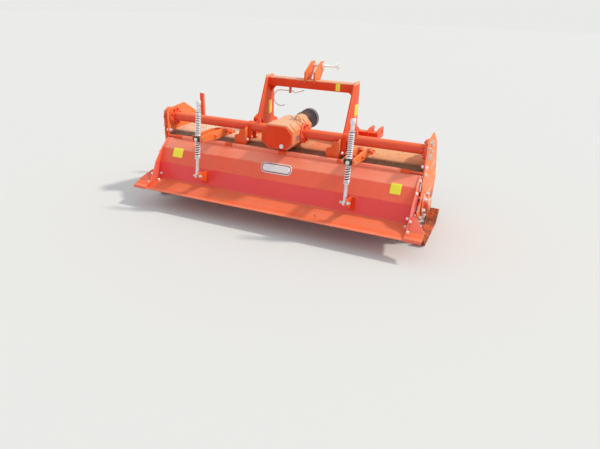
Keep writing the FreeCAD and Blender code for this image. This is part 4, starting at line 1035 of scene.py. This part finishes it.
breather = {"place": (0.023, -0.0945, 0.712), "foot": 0.022, "footDepth": 0.016,
            "outline": ((0, 0), (0, 0.008), (0.004, 0.012), (0.012, 0.012), (0.016, 0.008),
                        (0.016, 0))}
# level plugs in both cheeks, bosses and lifting bolt on the sloped shoulders:
# place, the way they face, size and turn
gearboxPlugs = (
    ((0.115, -0.130, 0.610), (1, 0, 0), 0.019, 0.4),
    ((-0.115, -0.180, 0.600), (-1, 0, 0), 0.019, 0.1),
    ((0.098, -0.0775, 0.688), (0.56, 0, 0.83), 0.017, 0.5),
    ((-0.098, -0.2000, 0.688), (-0.56, 0, 0.83), 0.017, 0.5),
)
mesh = bmesh.new()
addBolt(mesh, breather["place"], (0, 0, 1), breather["foot"], 0.2)
addRound(mesh, Vector(breather["place"]) + Vector((0, 0, breather["footDepth"])), (0, 0, 1),
         breather["outline"], 24)
for plug in gearboxPlugs:
    addBolt(mesh, *plug)
newPiece("gearboxPlugs", mesh, "boltZinc", "frame", 30)

# ribs over the gearbox's shoulders; the outline is shares of x, and z
rib = {"x": 0.085, "y": (-0.250, -0.140, -0.030), "thick": 0.008, "bevel": 0.0015,
       "outline": ((0.82, 0.7125), (1.355, 0.668), (1.40, 0.672), (0.87, 0.7185))}
mesh = bmesh.new()
for side, hand in sides:
    for y in rib["y"]:
        addSlab(mesh, [(hand * rib["x"] * share, y, z) for share, z in rib["outline"]],
                (0, 1, 0), rib["thick"], rib["bevel"])
newPiece("gearboxRibs", mesh, "castOrange", "frame", 30)

# a plate without lettering, held by four rivets
blankPlate = {"low": (0.1155, -0.235, 0.592), "wide": 0.070, "tall": 0.040, "thick": 0.0012,
              "rivet": 0.0022, "inset": 0.005}
x, y, z = blankPlate["low"]
farY, topZ, inset = y + blankPlate["wide"], z + blankPlate["tall"], blankPlate["inset"]
mesh = bmesh.new()
addSlab(mesh, [(x, y, z), (x, farY, z), (x, farY, topZ), (x, y, topZ)], (1, 0, 0),
        blankPlate["thick"], 0.0004)
for rivetY in (y + inset, farY - inset):
    for rivetZ in (z + inset, topZ - inset):
        addDrum(mesh, (x + 0.001, rivetY, rivetZ), (1, 0, 0), blankPlate["rivet"], 0.0012, 12)
newPiece("blankPlate", mesh, "plateAlloy", "frame", 30)

# gear case plugs, filler, level and drain: share of the way down and size
casePlugs = ((0.12, 0.026), (0.62, 0.019), (1.10, 0.022))
mesh = bmesh.new()
toCover = Vector((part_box("gear_case_cover")[0].x - upperSpot.x, 0, 0))
for share, size in casePlugs:
    addBolt(mesh, upperSpot.lerp(lowerSpot, share) + toCover, (-1, 0, 0), size, share * 4)
newPiece("gearCasePlugs", mesh, "boltZinc", "frame", 30)

# guard: rolled rim with a pale grey band round the mouth, and two beads
guard = {"rim": 0.0035, "rimInset": 0.002, "deep": 0.034, "taper": 0.075, "proud": 0.0010,
         "skin": 0.004, "bead": 0.0028, "frontBead": 0.040, "frontInset": 0.003,
         "backBead": 0.030, "backRadius": 0.0685}
guardLow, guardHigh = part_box("input_guard")
guardRadius = (guardHigh.x - guardLow.x) / 2


def addHoop(mesh, y, radius, wire, sides):
    sweep(mesh, ringOf(64, radius, (0, y, inputAxis.z), (0, 1, 0)), wire, sides, closed=True)


mesh = bmesh.new()
addHoop(mesh, guardHigh.y, guardRadius - guard["rimInset"], guard["rim"], 8)
inside, outside = guardRadius - guard["skin"], guardRadius + guard["proud"]
addRound(mesh, (0, guardHigh.y - guard["deep"], inputAxis.z), (0, 1, 0),
         ((0, inside), (0, outside - guard["deep"] * guard["taper"]), (guard["deep"], outside),
          (guard["deep"], inside - 0.001), (0, inside)), 64)
newPiece("guardRim", mesh, "guardGrey", "frame", 60)
mesh = bmesh.new()
addHoop(mesh, guardHigh.y - guard["frontBead"], guardRadius - guard["frontInset"],
        guard["bead"], 6)
addHoop(mesh, guardLow.y + guard["backBead"], guard["backRadius"], guard["bead"], 6)
newPiece("guardBeads", mesh, "guardBlack", "frame", 60)
print("gearbox fittings done")

# straps over the cross tubes, bolted to the deck
strap = {"x": (-0.312, 0.440), "wide": 0.032, "thick": 0.005, "reach": 0.052, "foot": 0.024,
         "rise": 0.008, "gap": 0.003, "floor": 0.5325, "bolt": 0.016, "boltOut": 0.012,
         "boltUp": 0.0025}
straps, strapBolts = bmesh.new(), bmesh.new()
for x in strap["x"]:
    reach, floor = strap["reach"], strap["floor"]
    over = []
    for degrees in range(-10, 191, 10):
        angle = math.radians(degrees)
        over.append(Vector((x, tubeY - math.cos(angle) * (tubeRadius + strap["gap"]),
                            tubeZ + math.sin(angle) * (tubeRadius + strap["gap"]))))
    foot = ((reach + strap["foot"], floor), (reach, floor),
            (reach - strap["rise"], floor + strap["rise"]))
    path = [Vector((x, tubeY - away, z)) for away, z in foot] + over
    path += [Vector((x, tubeY + away, z)) for away, z in reversed(foot)]
    sweep(straps, path, strap["wide"] / 2, flat=strap["thick"] / strap["wide"],
          across=(1, 0, 0))
    for sign in (-1, 1):
        addBolt(strapBolts,
                (x, tubeY + sign * (reach + strap["boltOut"]), floor + strap["boltUp"]),
                (0, 0, 1), strap["bolt"], 0.3, stub=0.005)
newPiece("tubeClamps", straps, "frameOrange", "frame", 30)
newPiece("tubeClampBolts", strapBolts, "brightZinc", "frame", 30)

# short ears on the tubes, and stiffeners at the tower's feet
tab = {"earX": (0.512, -0.250), "outline": ((-0.022, 0.026), (0.022, 0.026), (0.018, 0.066),
                                            (-0.018, 0.066)),
       "earThick": 0.008, "footX": 0.3555, "footY": 0.150, "footWide": 0.060,
       "footTop": 0.640, "footThick": 0.010, "bevel": 0.0015}
mesh = bmesh.new()
for x in tab["earX"]:
    addSlab(mesh, [(x, tubeY + y, tubeZ + z) for y, z in tab["outline"]], (1, 0, 0),
            tab["earThick"], tab["bevel"])
for side, hand in sides:
    x, y = hand * tab["footX"], tab["footY"]
    addSlab(mesh, [(x, y, deckTop), (x - hand * tab["footWide"], y, deckTop),
                   (x, y, tab["footTop"])], (0, 1, 0), tab["footThick"], tab["bevel"])
newPiece("tubeTabs", mesh, "frameOrange", "frame", 30)

# grease nipples: on the bearing and on the gearbox's neck; each collar has one too
nipple = {"places": (((plateOuter + 0.024, rotorAxis.y, rotorAxis.z + 0.060), (0.6, 0, 0.8)),
                     ((0.0, 0.100, inputAxis.z + 0.0615), (0, 0, 1))),
          "hexagon": 0.009, "rise": 0.005,
          "outline": ((0, 0), (0, 0.0028), (0.004, 0.0024), (0.006, 0.0034), (0.009, 0.0026),
                      (0.010, 0))}


def addNipple(mesh, place, axis):
    # hexagon foot, neck and ball
    addBolt(mesh, place, axis, nipple["hexagon"], washer=False)
    addRound(mesh, Vector(place) + Vector(axis).normalized() * nipple["rise"], axis,
             nipple["outline"], 12)


mesh = bmesh.new()
for place, axis in nipple["places"]:
    addNipple(mesh, place, axis)
newPiece("greaseNipples", mesh, "boltZinc", "frame", 40)

# collars: a bright disc with a nipple on the front, a pivot cap at each end
collar = {"disc": 0.0135, "discDepth": 0.0035, "pivotY": -0.4265, "pivotZ": 0.568,
          "cap": 0.0125, "capDepth": 0.004}
for side, hand in sides:
    mesh = bmesh.new()
    low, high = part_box(side + "_rod_collar")
    front = ((low.x + high.x) / 2, low.y + 0.001, (low.z + high.z) / 2)
    addDrum(mesh, front, (0, -1, 0), collar["disc"], collar["discDepth"], 28, 0.0006)
    addNipple(mesh, front, (0, -1, 0))
    for x, way in ((low.x, -1), (high.x, 1)):
        addDrum(mesh, (x - way * 0.001, collar["pivotY"], collar["pivotZ"]), (way, 0, 0),
                collar["cap"], collar["capDepth"], 20, 0.0008)
    newPiece(side + "_collar_fittings", mesh, "boltZinc", side + "_collar", 40)

# linch pin through the top link pin's end: bar, head and ring
linch = {"x": 0.170, "bar": 0.0045, "barLength": 0.044, "head": 0.008, "headDepth": 0.010,
         "headUp": 0.018, "ring": 0.021, "ringUp": 0.006, "wire": 0.0022}
pinLow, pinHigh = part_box("top_link_pin")
x, y, z = linch["x"], (pinLow.y + pinHigh.y) / 2, (pinLow.z + pinHigh.z) / 2
mesh = bmesh.new()
addDrum(mesh, (x, y, z - linch["barLength"] / 2), (0, 0, 1), linch["bar"], linch["barLength"],
        12, 0.0008)
addDrum(mesh, (x, y, z + linch["headUp"]), (0, 0, 1), linch["head"], linch["headDepth"],
        16, 0.001)
sweep(mesh, ringOf(40, linch["ring"], (x - 0.004, y, z + linch["ringUp"]), (1, 0.15, 0)),
      linch["wire"], 8, closed=True)
newPiece("linchPin", mesh, "brightZinc", "frame", 50)

# the stand's locking pin with its ring, and the white cap on the leg
standPin = {"drop": 0.035, "bar": 0.0065, "barLength": 0.030, "head": 0.011,
            "headDepth": 0.010, "ring": 0.020, "ringDrop": 0.052, "wire": 0.0022}
legX, legY = (socketLow.x + socketHigh.x) / 2, (socketLow.y + socketHigh.y) / 2
y, z = socketHigh.y, socketHigh.z - standPin["drop"]
mesh = bmesh.new()
addDrum(mesh, (legX, y - 0.002, z), (0, 1, 0), standPin["bar"], standPin["barLength"], 16,
        0.001)
addDrum(mesh, (legX, y + 0.002, z), (0, 1, 0), standPin["head"], standPin["headDepth"], 20,
        0.001)
ringPlace = (legX, y + standPin["ring"], socketHigh.z - standPin["ringDrop"])
sweep(mesh, ringOf(40, standPin["ring"], ringPlace, (0.25, 1, 0)), standPin["wire"], 8,
      closed=True)
newPiece("standPin", mesh, "boltZinc", "frame", 50)
standCap = ((0, 0), (0, 0.0205), (0.006, 0.0205), (0.011, 0.016), (0.012, 0))
mesh = bmesh.new()
addRound(mesh, (legX, legY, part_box("stand_leg")[1].z - 0.002), (0, 0, 1), standCap, 28)
newPiece("standCap", mesh, "whitePlastic", "stand", 40)
print("small fittings done")

hoodTree, deckTree = (BVHTree.FromPolygons([vertex.co for vertex in nodes[name].data.vertices],
                                           [face.vertices for face in nodes[name].data.polygons])
                      for name in ("hood_sheet", "main_deck"))
label = {"lift": 0.0012, "thick": 0.0008, "cuts": 12, "roundSteps": 6}


def addLabel(name, corners, body, finish, rounded, tree=None, lift=label["lift"]):
    # a rectangle between four corners, its corners rounded, draped on the sheet where there is one
    mesh = bmesh.new()
    face = mesh.faces.new([mesh.verts.new(place) for place in corners])
    short = min(edge.calc_length() for edge in face.edges)
    bmesh.ops.bevel(mesh, geom=mesh.verts[:], offset=short * rounded, affect="VERTICES",
                    segments=label["roundSteps"], profile=0.5, material=-1)
    mesh.normal_update()
    away = mesh.faces[:][0].normal.copy()
    start = Vector(corners[0])
    for rail in (Vector(corners[1]) - start, Vector(corners[3]) - start):
        for cut in range(1, label["cuts"]):
            bmesh.ops.bisect_plane(mesh, geom=mesh.verts[:] + mesh.edges[:] + mesh.faces[:],
                                   plane_co=start + rail * cut / label["cuts"],
                                   plane_no=rail.normalized(), dist=1e-6)
    for vertex in mesh.verts:
        if tree:
            place, normal = tree.find_nearest(vertex.co)[:2]
            vertex.co = place + normal * lift
        else:
            vertex.co += away * lift
    piece = newPiece(name, mesh, finish, body, 60)
    wall = piece.modifiers.new("wall", "SOLIDIFY")
    wall.thickness = label["thick"]
    wall.offset = 0


# z and y of the bends down the hood's front
hoodProfile = ((0.490, -0.2075), (0.418, -0.2875), (0.314, -0.3415), (0.189, -0.3655))


def hoodPoint(x, z):
    # a point a little outside the hood's upper panels, at a height over the floor
    for (highZ, highY), (lowZ, lowY) in zip(hoodProfile, hoodProfile[1:]):
        if z >= lowZ:
            break
    share = (highZ - z) / (highZ - lowZ)
    return Vector((x, highY + (lowY - highY) * share - 0.01, z))


def hoodPatch(x0, x1, z0, z1):
    return [hoodPoint(x0, z0), hoodPoint(x1, z0), hoodPoint(x1, z1), hoodPoint(x0, z1)]


squares = {"x": {"rightSquare": (0.832, 0.905), "leftSquare": (-0.897, -0.808)},
           "z": (0.364, 0.429), "rounded": 0.06}
for name, (x0, x1) in squares["x"].items():
    addLabel(name, hoodPatch(x0, x1, *squares["z"]), "hood", "labelYellow",
             squares["rounded"], hoodTree)
# the plate in the hood's middle, left blank: white outline, dark ring, white field,
# each with how far it is inset and lifted
pill = {"x": (-0.126, 0.118), "z": (0.364, 0.434), "rounded": 0.48,
        "layers": {"pillOutline": ("labelWhite", 0.0, 0.0010),
                   "pillRing": ("labelRim", 0.006, 0.0017),
                   "pillField": ("labelWhite", 0.012, 0.0024)}}
for name, (finish, inset, lift) in pill["layers"].items():
    (x0, x1), (z0, z1) = pill["x"], pill["z"]
    addLabel(name, hoodPatch(x0 + inset, x1 - inset, z0 + inset, z1 - inset), "hood", finish,
             pill["rounded"], hoodTree, lift)
# blank labels on the tower: finish, the plane they lie in and their two opposite corners
flatLabels = {
    "leftUprightLabel": ("labelYellow", "x", -0.3555, (0.272, 0.650), (0.325, 0.760)),
    "rightUprightLabel": ("labelYellow", "x", 0.3705, (0.278, 0.702), (0.352, 0.792)),
    "rightUprightNote": ("labelWhite", "x", 0.3705, (0.262, 0.655), (0.336, 0.692)),
    "barLabel": ("labelYellow", "y", 0.2695, (0.212, 0.884), (0.247, 0.940)),
}
flatRounded = 0.08
for name, (finish, axis, value, (near, low), (far, high)) in flatLabels.items():
    spots = ((near, low), (far, low), (far, high), (near, high))
    corners = [(value, u, z) if axis == "x" else (u, value, z) for u, z in spots]
    addLabel(name, corners, "frame", finish, flatRounded)
print("labels done")

# soil: how many crumbs, the area they fall on and how they gather towards one side
crumbs = {"seed": 11, "size": (0.0020, 0.0052), "lumpShare": 0.08, "lump": 1.6,
          "squash": (0.8, 1.3), "flat": 0.7, "sunk": 0.35, "dent": 0.35, "dentScale": 400,
          "steepest": 0.3,
          "deck": (150, (-0.99, 0.99), (-0.17, 0.36), 1.5),
          "hood": (45, (-0.98, 0.98), (-0.375, -0.50), 1.8)}
dice = random.Random(crumbs["seed"])


def addCrumbs(name, body, tree, count, xRange, yRange, gather):
    # dented little balls dropped onto a sheet; gather thins them towards one side
    mesh = bmesh.new()
    for drop in range(count):
        x, share = dice.uniform(*xRange), dice.random() ** gather
        y = yRange[0] + (yRange[1] - yRange[0]) * share
        place, normal = tree.ray_cast(Vector((x, y, 1.2)), Vector((0, 0, -1)))[:2]
        size = dice.uniform(*crumbs["size"])
        size *= crumbs["lump"] if dice.random() < crumbs["lumpShare"] else 1
        if place is None or normal.z < crumbs["steepest"]:
            continue
        squash = (size * dice.uniform(*crumbs["squash"]), size * dice.uniform(*crumbs["squash"]),
                  size * crumbs["flat"])
        spot = Matrix.Translation(place + normal * size * crumbs["sunk"])
        turn = Matrix.Rotation(dice.uniform(0, 6.3), 4, "Z")
        made = bmesh.ops.create_icosphere(mesh, subdivisions=1, radius=1.0,
                                          matrix=spot @ turn @ Matrix.Diagonal((*squash, 1)))
        for vertex in made["verts"]:
            dent = crumbs["dent"] * noise.noise(vertex.co * crumbs["dentScale"])
            vertex.co += (vertex.co - place) * dent
    newPiece(name, mesh, "soil", body, 0)


addCrumbs("deckCrumbs", "frame", deckTree, *crumbs["deck"])
addCrumbs("hoodCrumbs", "hood", hoodTree, *crumbs["hood"])
print("soil done")

studio = {
    "floor": (0.70, 0.69, 0.67),
    "floorSize": 40.0,
    "sun": {"energy": 1.95, "angle": 5.0, "elevation": 49.0, "azimuth": 24.0,
            "color": (1.0, 0.95, 0.86)},
    "sky": (0.88, 0.94, 1.0),
    "skyStrength": 0.80,
    "backdrop": (0.82, 0.82, 0.81),
}


def makeFloor():
    mesh = bmesh.new()
    bmesh.ops.create_grid(mesh, x_segments=1, y_segments=1, size=studio["floorSize"])
    data = bpy.data.meshes.new("floor")
    mesh.to_mesh(data)
    mesh.free()
    floor = bpy.data.objects.new("floor", data)
    bpy.context.scene.collection.objects.link(floor)
    shader = Shader("floorPale")
    shader.feed("Base Color", (*studio["floor"], 1.0))
    shader.feed("Roughness", 0.9)
    data.materials.append(shader.material)


def makeSun():
    sun = bpy.data.lights.new("sun", "SUN")
    sun.energy = studio["sun"]["energy"]
    sun.color = studio["sun"]["color"]
    sun.angle = math.radians(studio["sun"]["angle"])
    lamp = bpy.data.objects.new("sun", sun)
    bpy.context.scene.collection.objects.link(lamp)
    elevation, azimuth = (math.radians(studio["sun"][key]) for key in ("elevation", "azimuth"))
    way = Vector((math.cos(elevation) * math.cos(azimuth),
                  math.cos(elevation) * math.sin(azimuth), math.sin(elevation)))
    lamp.matrix_world = way.to_track_quat("Z", "Y").to_matrix().to_4x4()


def makeSky():
    # the camera and the metal see a pale backdrop, everything else the sky
    world = bpy.data.worlds.new("studio")
    world.use_nodes = True
    bpy.context.scene.world = world
    tree = NodeTree(world.node_tree)
    sky = world.node_tree.nodes["Background"]
    tree.fill(sky, {"Color": (*studio["sky"], 1.0), "Strength": studio["skyStrength"]})
    backdrop = tree.signal(0, "ShaderNodeBackground", None,
                           {"Color": (*studio["backdrop"], 1.0)})
    rays = tree.node("ShaderNodeLightPath")
    seen = Signal(tree, rays.outputs["Is Camera Ray"]).math(
        "MAXIMUM", Signal(tree, rays.outputs["Is Glossy Ray"]))
    both = tree.signal(0, "ShaderNodeMixShader", None,
                       (seen, Signal(tree, sky.outputs[0]), backdrop))
    tree.fill(world.node_tree.nodes["World Output"], {"Surface": both})


makeFloor()
makeSun()
makeSky()
bpy.context.scene.view_settings.view_transform = "Standard"
print("studio done")
